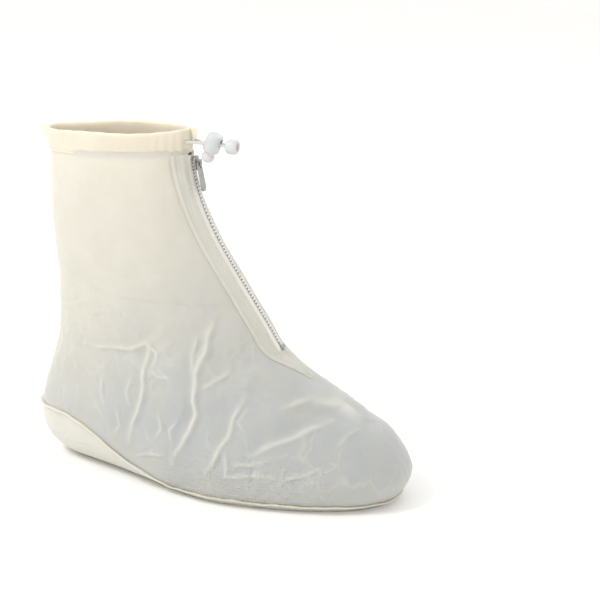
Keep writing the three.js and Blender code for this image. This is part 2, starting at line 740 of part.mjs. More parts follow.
// The cord inside the hem, from one exit round the back to the other
function drawstringGeometry() {
  const girth = outline(MID_CASING).girth;
  const nearShare = TAIL_START - (2 * GAP) / tailCurve(1).getLength();
  const lead = (side) => stretch(tailCurve(side), 0, nearShare, 4).points;
  const left = [];
  const turns = 18;
  for (let i = 1; i <= turns; i += 1) {
    left.push(channelPoint(THREE.MathUtils.lerp(CORD_EXIT_ARC, girth, i / turns)));
  }
  const right = left.slice(0, -1).map((p) => p.clone().setY(2 * channelPoint(girth).y - p.y));
  const route = [...lead(1).reverse(), ...left, ...right.reverse(), ...lead(-1)];
  return tube(new THREE.CatmullRomCurve3(route, false, "centripetal"), CORD_DIAMETER / 2, 64, 6);
}

function casingGeometry() {
  const bore = CORD_DIAMETER / 2 + 0.45;
  const exits = [-1, 1].map((side) => tube(stretch(tailCurve(side), 0, 0.5, 8), bore, 8, 8));
  return cut(
    hemBand(CASING_THICKNESS, CASING_HEIGHT, 0.16),
    hemBand(CHANNEL_WIDTH, CHANNEL_HEIGHT, 0.1),
    ...exits,
  );
}

// Lock pieces are drawn on an upright axis, button down, and tilted into place
const inLock = (geometry) =>
  geometry.rotateY(LOCK_TURN).translate(LOCK_AT.x, LOCK_AT.y, LOCK_AT.z + RIM_RISE);

function lathe(profile, sides) {
  return new THREE.LatheGeometry(profile.map(([r, h]) => new THREE.Vector2(r, h)), sides)
    .rotateX(Math.PI / 2);
}

const LOCK_BORE = PLUNGER_RADIUS + PLUNGER_FIT;
const HOLE_HALF = (CORD_DIAMETER + 2 * PLUNGER_FIT) / 2;

function lockBodyGeometry() {
  const top = LOCK_LENGTH * 0.56;
  const bottom = top - LOCK_LENGTH;
  const roof = top - 2;
  const barrel = lathe(
    [
      [0, roof], [LOCK_BORE, roof], [LOCK_BORE, bottom], [0.84 * LOCK_RADIUS, bottom],
      [LOCK_RADIUS, bottom + 1.6], [LOCK_RADIUS, top - 3.4], [0.9 * LOCK_RADIUS, top - 1.4],
      [0.62 * LOCK_RADIUS, top - 0.3], [0, top],
    ],
    24,
  );
  const hole = box(
    -2 * LOCK_RADIUS, 2 * LOCK_RADIUS, -LOCK_HOLE_WIDTH / 2, LOCK_HOLE_WIDTH / 2,
    -HOLE_HALF, HOLE_HALF + PLUNGER_TRAVEL,
  ).rotateY(-LOCK_TURN);
  return inLock(cut(barrel, hole));
}

function plungerGeometry() {
  const bottom = LOCK_LENGTH * 0.56 - LOCK_LENGTH;
  const head = bottom - PLUNGER_TRAVEL - PLUNGER_FIT;
  const crown = LOCK_LENGTH * 0.56 - 2 - PLUNGER_TRAVEL - PLUNGER_FIT;
  const stem = lathe(
    [
      [0, head - BUTTON_LENGTH], [0.55 * BUTTON_RADIUS, head - BUTTON_LENGTH + 0.3],
      [0.9 * BUTTON_RADIUS, head - 0.72 * BUTTON_LENGTH], [BUTTON_RADIUS, head - 0.4 * BUTTON_LENGTH],
      [BUTTON_RADIUS, head - 0.1 * BUTTON_LENGTH], [PLUNGER_RADIUS, head], [PLUNGER_RADIUS, crown], [0, crown],
    ],
    24,
  );
  const hole = box(
    -2 * LOCK_RADIUS, 2 * LOCK_RADIUS, -LOCK_HOLE_WIDTH / 2, LOCK_HOLE_WIDTH / 2,
    -HOLE_HALF - PLUNGER_TRAVEL, HOLE_HALF,
  ).rotateY(-LOCK_TURN);
  return inLock(cut(stem, hole));
}

// The cord end: a short bell that hides the knot, open at its far face
function cordEndGeometry() {
  const bell = lathe(
    [
      [0, 0], [0.66 * END_RADIUS, 0.2], [0.92 * END_RADIUS, 1.8], [END_RADIUS, 4.2],
      [0.96 * END_RADIUS, END_LENGTH - 1.6], [0.8 * END_RADIUS, END_LENGTH - 0.2],
      [END_HOLE_RADIUS, END_LENGTH], [END_HOLE_RADIUS, END_LENGTH - 3.4], [0, END_LENGTH - 3.4],
    ],
    20,
  ).rotateY(Math.PI / 2);
  const bore = box(
    -1, END_LENGTH - 4, -CORD_APART - CORD_DIAMETER / 2 - GAP, CORD_APART + CORD_DIAMETER / 2 + GAP,
    -CORD_DIAMETER / 2 - GAP - 0.2, CORD_DIAMETER / 2 + GAP + 0.2,
  );
  return cut(bell, bore).translate(END_AT.x, END_AT.y, END_AT.z + RIM_RISE);
}

const FINISHES = {
  film: { color: 0xe6e0cf, roughness: 0.42 },
  sole: { color: 0xd6d5c8, roughness: 0.5 },
  weld: { color: 0xe2dcc6, roughness: 0.4 },
  tape: { color: 0xe4e2dc, roughness: 0.8 },
  coil: { color: 0xdededc, roughness: 0.45 },
  metal: { color: 0xa9a9a7, roughness: 0.35, metalness: 0.9 },
  cord: { color: 0xd5d3cf, roughness: 0.7 },
  plastic: { color: 0xe2e1e2, roughness: 0.35 },
};

const cover = new THREE.Group();
function place(name, geometry, finish) {
  const mesh = new THREE.Mesh(geometry, new THREE.MeshStandardMaterial(FINISHES[finish]));
  mesh.name = name;
  cover.add(mesh);
}

place("upper", raisedGeometry(upperGeometry()), "film");
place("sole", soleGeometry(), "sole");
place("sole_welt", weltGeometry(), "weld");
place("casing", raisedGeometry(casingGeometry()), "film");
place("gusset", raisedGeometry(gussetGeometry()), "film");
place("zip_placket", raisedGeometry(placketGeometry()), "film");
for (const [name, side] of [["left", 1], ["right", -1]]) {
  place(`zip_tape_${name}`, raisedGeometry(tapeGeometry(side)), "tape");
  place(`zip_coil_${name}`, raisedGeometry(coilGeometry(side)), "coil");
  place(`cord_tail_${name}`, raisedGeometry(tailGeometry(side)), "cord");
}
place("zip_slider", sliderGeometry(), "metal");
place("zip_pull", pullGeometry(), "metal");
place("zip_bottom_stop", bottomStopGeometry(), "metal");
place("drawstring", raisedGeometry(drawstringGeometry()), "cord");
place("cord_lock_body", lockBodyGeometry(), "plastic");
place("cord_lock_plunger", plungerGeometry(), "plastic");
place("cord_end", cordEndGeometry(), "plastic");

export default cover;
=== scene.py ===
"""A reusable rain shoe cover: a bootee of milky PVC film with a welded sole, front zip and drawstring hem."""
import math

import bmesh
import bpy
import numpy as np
from bpy.props import FloatProperty, FloatVectorProperty, PointerProperty
from mathutils import Matrix, Vector, noise


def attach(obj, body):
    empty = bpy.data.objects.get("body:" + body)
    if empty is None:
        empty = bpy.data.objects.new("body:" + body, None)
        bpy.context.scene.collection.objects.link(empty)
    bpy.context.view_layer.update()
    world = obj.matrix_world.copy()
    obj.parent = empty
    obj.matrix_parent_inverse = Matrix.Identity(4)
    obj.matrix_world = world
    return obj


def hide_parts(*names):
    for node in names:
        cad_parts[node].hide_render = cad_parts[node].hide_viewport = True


bl_info = {
    "name": "Rain shoe cover",
    "version": (1, 0, 0),
    "blender": (4, 5, 0),
    "location": "View3D > Sidebar > Shoe cover",
    "description": "Makes a welded PVC shoe cover with its zip, hem, cords and cord lock",
    "category": "Object",
}

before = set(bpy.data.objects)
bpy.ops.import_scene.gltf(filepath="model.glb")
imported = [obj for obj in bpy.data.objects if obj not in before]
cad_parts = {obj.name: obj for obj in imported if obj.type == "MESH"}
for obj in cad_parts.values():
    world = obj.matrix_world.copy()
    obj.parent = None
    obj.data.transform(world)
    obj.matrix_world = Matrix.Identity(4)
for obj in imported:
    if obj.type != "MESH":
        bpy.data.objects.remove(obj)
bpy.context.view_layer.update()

# Sizes of the cover's form, in metres, as in the solids
FOOT_LENGTH = 0.306
FOOT_WIDTH = 0.118
ANKLE_HEIGHT = 0.110
SHAFT_HEIGHT = 0.158
SHAFT_LENGTH = 0.121
SHAFT_WIDTH = 0.088
SHAFT_SET_BACK = 0.088
RIM_RISE = 0.009
TOE_SWING = 0.009
TOP = ANKLE_HEIGHT + SHAFT_HEIGHT
SEAM_AT_TOE = 0.006
SEAM_AT_HEEL = 0.043
HEM_HEIGHT = 0.018
HEM_MIDDLE = TOP - HEM_HEIGHT / 2
HEM_CENTRE = 0.0007 - 0.0054 / 2
HEM_FLARE = 0.003
FILM_TOP = TOP - HEM_HEIGHT - 0.0003
ZIP_FOOT = 0.112
ZIP_TOP = FILM_TOP - 0.003
SLIT_HALF = 0.005
PLACKET_HALF = 0.020

# Sizes of the soft pieces, in metres
SHEET = 0.0006
SEAM_GAP = 0.0002
TUCK = 0.004
WELD_HALF = 0.0005
SOLE_LIFT = 0.0006
SOLE_INSIDE = 0.0024
SOLE_WALL = 0.0014
GUSSET_HALF = 0.022
MERGE_FILM = 1e-7
MM = 1000

# The film's grid: rows on the foot and on the shaft, and the share of the height where they change
FOOT_ROWS = 162
SHAFT_ROWS = 44
ROWS_CHANGE = 0.58
FRONT_GIRTH = 0.29

# Level outlines: height share, back, front, heel and ball half widths, and how full the back and front are
FOOT_SECTIONS = (
    (0.0, -0.415, 0.44, 0.19, 0.44, 2.3, 2.3),
    (0.06, -0.453, 0.472, 0.272, 0.475, 2.45, 2.3),
    (0.14, -0.48, 0.492, 0.325, 0.493, 2.6, 2.3),
    (0.23, -0.496, 0.5, 0.348, 0.5, 2.65, 2.3),
    (0.34, -0.503, 0.484, 0.35, 0.49, 2.6, 2.3),
    (0.46, -0.498, 0.446, 0.34, 0.466, 2.5, 2.3),
    (0.58, -0.485, 0.387, 0.328, 0.436, 2.45, 2.3),
    (0.7, -0.47, 0.315, 0.32, 0.405, 2.4, 2.3),
    (0.8, -0.459, 0.253, 0.316, 0.376, 2.35, 2.25),
    (0.9, -0.451, 0.203, 0.312, 0.35, 2.3, 2.2),
)
SHAFT_SECTIONS = (
    (0.0, -0.412, 1.13, 0.42, 0.445, 2.3, 2.15),
    (0.13, -0.4, 1.015, 0.42, 0.435, 2.3, 2.1),
    (0.27, -0.41, 0.893, 0.42, 0.43, 2.2, 2.1),
    (0.41, -0.435, 0.77, 0.42, 0.42, 2.1, 2.05),
    (0.55, -0.455, 0.655, 0.41, 0.4, 2.0, 2.0),
    (0.68, -0.46, 0.558, 0.385, 0.375, 1.95, 2.0),
    (0.8, -0.46, 0.5, 0.35, 0.345, 1.9, 2.0),
    (0.9, -0.47, 0.485, 0.32, 0.32, 1.85, 2.0),
    (1.0, -0.5, 0.48, 0.3, 0.3, 1.85, 2.0),
)

# Crisp creases: side (-1 right, 1 left), half width and height in mm, and the line as (x, z) in mm
CREASES = (
    (-1, 2.3, 2.1, (
        (3, 143), (0, 128), (-2, 116), (-7, 98), (-5, 79), (-3, 70), (-6, 56), (-12, 44), (-19, 28),
    )),
    (-1, 1.5, 1.1, ((-8, 128), (-11, 112), (-9, 96))),
    (-1, 2.1, 1.7, ((-44, 121), (-47, 103), (-50, 87), (-49, 72), (-53, 60), (-60, 36))),
    (-1, 1.6, 1.0, ((-60, 88), (-63, 74), (-60, 66))),
    (-1, 1.9, 1.5, ((-105, 103), (-84, 107), (-62, 110), (-48, 116), (-39, 109), (-45, 92))),
    (-1, 1.4, 1.0, ((-44, 95), (-36, 92), (-26, 93))),
    (-1, 2.0, 1.6, ((32, 86), (27, 70), (24, 56), (19, 46), (9, 24))),
    (-1, 1.3, 0.9, ((36, 77), (31, 68), (37, 61))),
    (-1, 1.4, 1.0, ((-54, 25), (-40, 31), (-24, 35))),
    (-1, 1.7, 1.2, ((24, 45), (26, 27), (42, 29), (62, 30))),
    (-1, 1.4, 0.9, ((30, 37), (44, 37), (58, 43))),
    (-1, 2.3, 1.5, ((43, 44), (58, 54), (71, 58), (84, 66), (97, 70))),
    (-1, 2.2, 1.4, ((60, 79), (78, 83), (97, 77), (113, 66))),
    (-1, 1.6, 0.9, ((66, 26), (84, 33), (96, 40))),
    (-1, 1.5, 0.8, ((104, 53), (109, 60), (116, 63))),
    (-1, 1.6, 0.9, ((18, 100), (6, 92), (-2, 88))),
    (-1, 1.4, 0.8, ((-86, 84), (-87, 70), (-82, 60))),
    (-1, 1.4, 0.8, ((-70, 60), (-68, 48), (-73, 38))),
    (-1, 2.2, 0.9, ((-136, 133), (-117, 134), (-96, 143))),
    (-1, 2.2, 0.8, ((-98, 168), (-60, 164), (-26, 172))),
    (-1, 1.6, 0.9, ((-33, 64), (-30, 54), (-34, 46))),
    (-1, 1.5, 0.9, ((-16, 62), (-22, 54), (-20, 44))),
    (1, 2.3, 2.0, ((8, 140), (-1, 122), (-4, 106), (1, 90), (-2, 74), (-9, 56), (-14, 36))),
    (1, 2.0, 1.6, ((-50, 118), (-54, 100), (-58, 84), (-53, 64), (-52, 42))),
    (1, 1.9, 1.4, ((-112, 106), (-88, 112), (-64, 119), (-46, 104), (-50, 92))),
    (1, 2.0, 1.5, ((34, 88), (30, 70), (28, 56), (21, 44), (12, 26))),
    (1, 2.2, 1.4, ((46, 42), (60, 52), (76, 58), (108, 66))),
    (1, 1.7, 1.1, ((-128, 70), (-112, 75), (-98, 72), (-80, 62))),
    (1, 2.2, 1.0, ((-136, 130), (-112, 135), (-90, 141))),
    (1, 1.6, 1.0, ((60, 30), (74, 27), (88, 28), (112, 34))),
    (1, 1.5, 0.9, ((-34, 66), (-31, 54), (-36, 44))),
    (1, 1.5, 0.9, ((-78, 62), (-72, 50), (-76, 40))),
    (1, 1.8, 1.0, ((58, 80), (80, 84), (100, 76))),
)

LEVELS = 537
FINE = 640


def smooth(a, b, x):
    t = np.clip((x - a) / (b - a), 0, 1)
    return t * t * (3 - 2 * t)


def hump(x, centre, width):
    return np.exp(-(((x - centre) / width) ** 2))


def section_table():
    rows = []
    for height, back, front, heel, ball, *ends in FOOT_SECTIONS:
        reach = [back * FOOT_LENGTH, front * FOOT_LENGTH]
        rows.append([height * ANKLE_HEIGHT, *reach, heel * FOOT_WIDTH, ball * FOOT_WIDTH, *ends])
    for height, back, front, heel, ball, *ends in SHAFT_SECTIONS:
        reach = [share * SHAFT_LENGTH - SHAFT_SET_BACK for share in (back, front)]
        level = ANKLE_HEIGHT + height * SHAFT_HEIGHT
        rows.append([level, *reach, heel * SHAFT_WIDTH, ball * SHAFT_WIDTH, *ends])
    return np.array(rows)


def form_table():
    """Places round each level outline, evenly spaced from the front to the back."""
    sections = section_table()
    heights = sections[:, 0]
    z = np.linspace(0, TOP, LEVELS)
    i = np.clip(np.searchsorted(heights, z, side="right") - 1, 0, len(heights) - 2)
    k = np.arange(len(heights))
    low = np.maximum(k - 1, 0)
    high = np.minimum(k + 1, len(heights) - 1)
    slopes = (sections[high] - sections[low]) / (heights[high] - heights[low])[:, None]
    span = (heights[i + 1] - heights[i])[:, None]
    t = (z - heights[i])[:, None] / span
    rise = 3 * t**2 - 2 * t**3
    swing = t * (1 - t) * span * (slopes[i] * (1 - t) - slopes[i + 1] * t)
    level = sections[i] * (1 - rise) + sections[i + 1] * rise + swing
    _, back, front, heel, ball, back_full, front_full = level.T[:, :, None]
    angle = np.linspace(0, np.pi, FINE + 1)[None, :]
    c = np.cos(angle)
    s = np.sin(angle)
    c[:, -1] = -1
    s[:, -1] = 0
    power = 2 / np.where(c > 0, front_full, back_full)
    along = np.sign(c) * np.abs(c) ** power
    width = heel + (ball - heel) * smooth(-0.8, 0.15, along)
    x = (back + front) / 2 + (front - back) / 2 * along
    y = width * np.abs(s) ** power
    steps = np.hypot(np.diff(x, axis=1), np.diff(y, axis=1))
    length = np.concatenate([np.zeros((LEVELS, 1)), np.cumsum(steps, axis=1)], axis=1)
    girth = length[:, -1]
    share = np.linspace(0, 1, FINE + 1)
    even_x = np.array([np.interp(share * g, run, a) for g, run, a in zip(girth, length, x)])
    even_y = np.array([np.interp(share * g, run, a) for g, run, a in zip(girth, length, y)])
    return z, girth, even_x, even_y


FORM_Z, FORM_GIRTH, FORM_X, FORM_Y = form_table()


def read_form(table, z, share):
    row = np.clip(z / TOP * (LEVELS - 1), 0, LEVELS - 1.0001)
    column = np.clip(np.abs(share) * FINE, 0, FINE - 0.0001)
    i = row.astype(int)
    j = column.astype(int)
    a = row - i
    b = column - j
    near = table[i, j] * (1 - b) + table[i, j + 1] * b
    far = table[i + 1, j] * (1 - b) + table[i + 1, j + 1] * b
    return near * (1 - a) + far * a


def plain(z, share):
    """Points of the plain form. share runs from -1 at the back, by the right, to 0 in front and on to 1."""
    z = np.asarray(z, float)
    share = (np.asarray(share, float) + 1) % 2 - 1
    z, share = np.broadcast_arrays(z, share)
    x = read_form(FORM_X, z, share)
    y = read_form(FORM_Y, z, share) * np.where(share < 0, -1, 1)
    swing = TOE_SWING * smooth(-0.1 * FOOT_LENGTH, 0.5 * FOOT_LENGTH, x)
    return np.stack([x, y + swing, z], -1)


def unit(v):
    return v / np.maximum(np.linalg.norm(v, axis=-1, keepdims=True), 1e-12)


def outward(z, share):
    z = np.asarray(z, float)
    turn = plain(z, share + 0.004) - plain(z, share - 0.004)
    rise = plain(np.minimum(z + 0.0006, TOP), share) - plain(np.maximum(z - 0.0006, 0), share)
    return unit(np.cross(turn, rise))


RISE_FOOT = ANKLE_HEIGHT + SHAFT_HEIGHT / 2
RIM_BACK, RIM_FRONT = plain([FILM_TOP, FILM_TOP], [1, 0])[:, 0]


def raised(points):
    """Points with the upper half of the shaft sloping up to the front, where the rim stands highest."""
    points = np.array(points, float)
    forward = np.clip((points[..., 0] - RIM_BACK) / (RIM_FRONT - RIM_BACK), 0, 1)
    points[..., 2] += RIM_RISE * smooth(RISE_FOOT, FILM_TOP, points[..., 2]) * forward
    return points


def level_outward(z, share):
    flat = outward(z, share)
    flat[..., 2] = 0
    return unit(flat)


def share_of(z, arc):
    return arc / np.interp(z, FORM_Z, FORM_GIRTH)


def seam_height(share):
    x = plain(np.full_like(share, SEAM_AT_TOE), share)[..., 0]
    climb = smooth(0.06 * FOOT_LENGTH, 0.345 * FOOT_LENGTH, -x)
    return SEAM_AT_TOE + (SEAM_AT_HEEL - SEAM_AT_TOE) * climb


def crease_relief(points, side):
    """The crisp creases: their height at each point in metres, and how much painted highlight lies on each
    ridge top.

    Each is a ridge with a shallow valley on each side, which wavers a little and dies away at its ends.
    """
    x = points[..., 0] * MM + 0.45 * np.sin(points[..., 2] * 260 + points[..., 0] * 90)
    z = points[..., 2] * MM + 0.4 * np.sin(points[..., 0] * 210 + 1.7)
    relief = np.zeros_like(x)
    fold = np.zeros_like(x)
    for crease_side, width, height, line in CREASES:
        run = np.array(line, float)
        nearest = np.full_like(x, 1e6)
        place = np.zeros_like(x)
        passed_along = np.zeros_like(x)
        lengths = np.hypot(*np.diff(run, axis=0).T)
        whole = lengths.sum()
        passed = 0.0
        for a, b, length in zip(run[:-1], run[1:], lengths):
            step = (b - a) / length
            along = np.clip((x - a[0]) * step[0] + (z - a[1]) * step[1], 0, length)
            away = np.hypot(x - a[0] - step[0] * along, z - a[1] - step[1] * along)
            closer = away < nearest
            nearest = np.where(closer, away, nearest)
            passed_along = np.where(closer, passed + along, passed_along)
            place = passed_along / whole
            passed += length
        fade = smooth(0, 0.22, place) * (1 - smooth(0.72, 1, place))
        here = (side == crease_side) * (0.3 + 0.7 * fade)
        ridge = hump(nearest, 0, width)
        valley = hump(nearest, 2.4 * width, 1.5 * width)
        swell = 0.8 + 0.2 * np.sin(passed_along * 0.37 + width * 7)
        relief += 0.85 * height * swell * (ridge - 0.45 * valley) * here
        # Painted highlight: a paler share along each ridge top, as if the ridge catches the light.
        fold = np.maximum(fold, here * height / 2 * hump(nearest, 0, 0.75 * width))
    return relief / MM, np.clip(fold, 0, 1)


def soft_waves(points):
    """Broad slack in the film, a little stronger on the foot than on the shaft."""
    x, y, z = (points[..., k] for k in range(3))
    turn = 2 * np.pi
    broad = np.sin(turn * (11 * x + 7 * z) + 1.3) * np.sin(turn * (9 * z - 5 * x + 6 * y) + 0.4)
    close = np.sin(turn * (23 * x - 15 * z + 9 * y) + 2.1) * np.sin(turn * (19 * z + 12 * x) + 0.9)
    foot = 0.45 + 0.55 * (1 - smooth(0.1, 0.19, z))
    return (0.0011 * broad + 0.0005 * close) * foot


def crinkles(points):
    """Small sharp crumples where the film bends most."""
    flat = points.reshape(-1, 3)
    made = np.empty(len(flat))
    for i, p in enumerate(flat):
        q = Vector(p) * 62
        made[i] = 1 - 2 * abs(noise.noise(q)) + 0.5 * (1 - 2 * abs(noise.noise(q * 2.3)))
    made = made.reshape(points.shape[:-1]) - 0.75
    z = points[..., 2]
    ankle = hump(z, 0.095, 0.05)
    low = hump(z, 0.035, 0.025)
    return 0.00075 * made * (0.2 + 0.8 * np.maximum(ankle, 0.8 * low))


def film_relief(z, share, points, strength):
    side = np.where(share < 0, -1, 1)
    girth = np.interp(z, FORM_Z, FORM_GIRTH)
    arc = np.abs(share) * girth
    by_zip = smooth(0.07, 0.092, z)
    clear_zip = by_zip * smooth(0.021, 0.034, arc) + (1 - by_zip) * smooth(0.0, 0.03, arc + 0.02)
    clear_back = smooth(0, 0.02, girth - arc) * 0.8 + 0.2
    clear_hem = 1 - smooth(FILM_TOP - 0.012, FILM_TOP, z)
    clear_seam = smooth(0.0, 0.02, z - seam_height(share))
    clear = clear_zip * clear_back * clear_hem * clear_seam
    creases, fold = crease_relief(points, side)
    return strength * clear * (creases + soft_waves(points) + crinkles(points)), clear * fold


# Mesh making


def grid_faces(rows, columns, ring=False):
    i, j = np.meshgrid(np.arange(rows - 1), np.arange(columns if ring else columns - 1), indexing="ij")
    step = (j + 1) % columns
    quads = [i * columns + j, i * columns + step, (i + 1) * columns + step, (i + 1) * columns + j]
    return np.stack([q.ravel() for q in quads], -1)


def band_faces(rows, count):
    """Faces of a closed band: rows of points round the cover, with the last row joined to the first."""
    faces = grid_faces(rows, count, ring=True).tolist()
    last = count * (rows - 1)
    return faces + [[j, last + j, last + (j + 1) % count, (j + 1) % count] for j in range(count)]


def mesh_of(name, points, faces):
    """A mesh of points on the plain form, raised towards the front of the rim."""
    mesh = bpy.data.meshes.new(name)
    mesh.from_pydata(raised(points).reshape(-1, 3).tolist(), [], [list(face) for face in faces])
    mesh.validate()
    return mesh


def tidy_mesh(mesh, merge=1e-6):
    made = bmesh.new()
    made.from_mesh(mesh)
    bmesh.ops.remove_doubles(made, verts=made.verts, dist=merge)
    bmesh.ops.recalc_face_normals(made, faces=made.faces)
    made.to_mesh(mesh)
    made.free()


def add_piece(name, mesh, material, body="cover", replaces=(), sharp=40):
    mesh.materials.clear()
    mesh.materials.append(material)
    mesh.shade_smooth()
    if sharp:
        mesh.set_sharp_from_angle(angle=math.radians(sharp))
    piece = bpy.data.objects.new(name, mesh)
    bpy.context.collection.objects.link(piece)
    settle_piece(piece, body, replaces)
    return piece


def settle_piece(piece, body="cover", replaces=()):
    if replaces:
        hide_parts(*replaces)
    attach(piece, body)


def finished(mesh, modifiers):
    """The mesh with the modifiers applied. Each is a kind and its settings."""
    holder = bpy.data.objects.new("holder", mesh)
    bpy.context.collection.objects.link(holder)
    for kind, settings in modifiers:
        modifier = holder.modifiers.new(kind.lower(), kind)
        for key, value in settings.items():
            setattr(modifier, key, value)
    graph = bpy.context.evaluated_depsgraph_get()
    made = bpy.data.meshes.new_from_object(holder.evaluated_get(graph))
    bpy.data.objects.remove(holder)
    return made


def thickened(points, faces, thickness, name, fold=None):
    """A thin sheet with its wall added inwards. fold holds the painted highlight on the crease ridges at each
    point, kept as an attribute.
    """
    mesh = mesh_of(name, points, faces)
    if fold is not None:
        mesh.attributes.new("fold", "FLOAT", "POINT").data.foreach_set("value", fold.ravel())
    wall = {"thickness": thickness, "offset": -1, "use_even_offset": False}
    made = finished(mesh, [("SOLIDIFY", wall)])
    tidy_mesh(made, MERGE_FILM)
    return made


def fin_piece(name, sections):
    """A thin upright weld: five points at each level, closed at both ends."""
    faces = grid_faces(len(sections), 5, ring=True).tolist()
    last = 5 * (len(sections) - 1)
    faces += [[4, 3, 2, 1, 0], [last, last + 1, last + 2, last + 3, last + 4]]
    mesh = mesh_of(name, np.array(sections), faces)
    tidy_mesh(mesh)
    add_piece(name, mesh, use("weld"))


def fin_section(root, tip):
    """A thin weld's outline at one level, as (x, y), with a blunt tip."""
    shoulder = tip + math.copysign(0.0004, root - tip)
    return [(root, -WELD_HALF), (shoulder, -WELD_HALF), (tip, 0), (shoulder, WELD_HALF), (root, WELD_HALF)]


def tube_mesh(name, route, radius, sides=14):
    """A closed round tube along a route, with a UV map that runs round and along it in metres."""
    route = np.asarray(route, float)
    heading = unit(np.gradient(route, axis=0))
    side = unit(np.cross(heading, [0, 0, 1.0]))
    up = np.cross(side, heading)
    angle = np.linspace(0, 2 * np.pi, sides, endpoint=False)
    ring = side[:, None] * np.cos(angle)[None, :, None] + up[:, None] * np.sin(angle)[None, :, None]
    points = route[:, None] + radius * ring
    count = len(route) * sides
    faces = grid_faces(len(route), sides, ring=True).tolist()
    points = np.concatenate([points.reshape(-1, 3), route[[0]], route[[-1]]])
    for j in range(sides):
        faces.append([(j + 1) % sides, j, count])
        faces.append([count - sides + j, count - sides + (j + 1) % sides, count + 1])
    mesh = bpy.data.meshes.new(name)
    mesh.from_pydata(points.tolist(), [], faces)
    uv = mesh.uv_layers.new(name="UVMap")
    reach = np.concatenate([[0], np.cumsum(np.linalg.norm(np.diff(route, axis=0), axis=1))])
    for polygon in mesh.polygons:
        corners = [mesh.loops[k].vertex_index for k in polygon.loop_indices]
        around = [v % sides for v in corners]
        for k, v in zip(polygon.loop_indices, corners):
            row = min(v // sides, len(route) - 1)
            turn = v % sides
            if turn == 0 and max(around) == sides - 1:
                turn = sides
            uv.data[k].uv = (turn / sides, reach[row])
    return mesh


def smooth_route(points, count):
    """A centripetal curve through points, as evenly spaced places."""
    points = np.asarray(points, float)
    padded = np.concatenate([[2 * points[0] - points[1]], points, [2 * points[-1] - points[-2]]])
    made = []
    for p0, p1, p2, p3 in zip(padded, padded[1:], padded[2:], padded[3:]):
        k1 = np.linalg.norm(p1 - p0) ** 0.5
        k2 = k1 + np.linalg.norm(p2 - p1) ** 0.5
        k3 = k2 + np.linalg.norm(p3 - p2) ** 0.5
        t = np.linspace(k1, k2, 24, endpoint=False)[:, None]
        a1 = (k1 - t) / k1 * p0 + t / k1 * p1
        a2 = (k2 - t) / (k2 - k1) * p1 + (t - k1) / (k2 - k1) * p2
        a3 = (k3 - t) / (k3 - k2) * p2 + (t - k2) / (k3 - k2) * p3
        b1 = (k2 - t) / k2 * a1 + t / k2 * a2
        b2 = (k3 - t) / (k3 - k1) * a2 + (t - k1) / (k3 - k1) * a3
        made.append((k2 - t) / (k2 - k1) * b1 + (t - k1) / (k2 - k1) * b2)
    run = np.concatenate([*made, points[[-1]]])
    length = np.concatenate([[0], np.cumsum(np.linalg.norm(np.diff(run, axis=0), axis=1))])
    even = np.linspace(0, length[-1], count)
    return np.stack([np.interp(even, length, run[:, k]) for k in range(3)], -1), length[-1]


def softened_node(name, node, width, material, body="cover"):
    """A finer copy of a solid: its doubles merged and its edges rounded, standing for that solid."""
    mesh = bpy.data.objects[node].data.copy()
    tidy_mesh(mesh, 2e-6)
    bevel = {"width": width, "segments": 2, "limit_method": "ANGLE", "angle_limit": math.radians(34)}
    made = finished(mesh, [("BEVEL", bevel)])
    return add_piece(name, made, material, body, [node], sharp=50)


def repeated(name, places, size, material, rounded=1):
    """Small rounded blocks at places, made with Geometry Nodes. places holds (centre, turn) pairs."""
    mesh = bpy.data.meshes.new(name)
    mesh.from_pydata([list(centre) for centre, _ in places], [], [])
    turns = mesh.attributes.new("turn", "FLOAT_VECTOR", "POINT")
    turns.data.foreach_set("vector", np.array([list(turn) for _, turn in places], float).ravel())
    holder = bpy.data.objects.new(name, mesh)
    bpy.context.collection.objects.link(holder)
    tree = bpy.data.node_groups.new(name, "GeometryNodeTree")
    tree.interface.new_socket(name="Geometry", in_out="INPUT", socket_type="NodeSocketGeometry")
    sockets = [
        tree.interface.new_socket(name=label, in_out="INPUT", socket_type="NodeSocketFloat").identifier
        for label in ("Length", "Width", "Height")
    ]
    tree.interface.new_socket(name="Geometry", in_out="OUTPUT", socket_type="NodeSocketGeometry")
    given = add_node(tree, "NodeGroupInput").outputs
    measure = add_node(tree, "ShaderNodeCombineXYZ", links={"X": given[1], "Y": given[2], "Z": given[3]})
    block = add_node(tree, "GeometryNodeMeshCube", links={"Size": measure.outputs[0]})
    soft = add_node(
        tree, "GeometryNodeSubdivisionSurface", {"Level": rounded}, {"Mesh": block.outputs["Mesh"]}
    )
    named = {"data_type": "FLOAT_VECTOR", "Name": "turn"}
    turn = add_node(tree, "GeometryNodeInputNamedAttribute", named).outputs["Attribute"]
    joins = {"Points": given[0], "Instance": soft.outputs["Mesh"], "Rotation": turn}
    spread = add_node(tree, "GeometryNodeInstanceOnPoints", links=joins).outputs["Instances"]
    real = add_node(tree, "GeometryNodeRealizeInstances", links={"Geometry": spread}).outputs["Geometry"]
    dress = add_node(tree, "GeometryNodeSetMaterial", {"Material": material}, {"Geometry": real})
    add_node(tree, "NodeGroupOutput", links={"Geometry": dress.outputs["Geometry"]})
    modifier = holder.modifiers.new("repeat", "NODES")
    modifier.node_group = tree
    for socket, value in zip(sockets, size):
        modifier[socket] = value
    graph = bpy.context.evaluated_depsgraph_get()
    made = bpy.data.meshes.new_from_object(holder.evaluated_get(graph))
    bpy.data.objects.remove(holder)
    made.name = name
    return made


# Materials


def add_node(tree, kind, settings=None, links=None):
    made = tree.nodes.new(kind)
    for key, value in (settings or {}).items():
        if hasattr(made, key):
            setattr(made, key, value)
        else:
            made.inputs[key].default_value = value
    for key, socket in (links or {}).items():
        tree.links.new(socket, made.inputs[key])
    return made


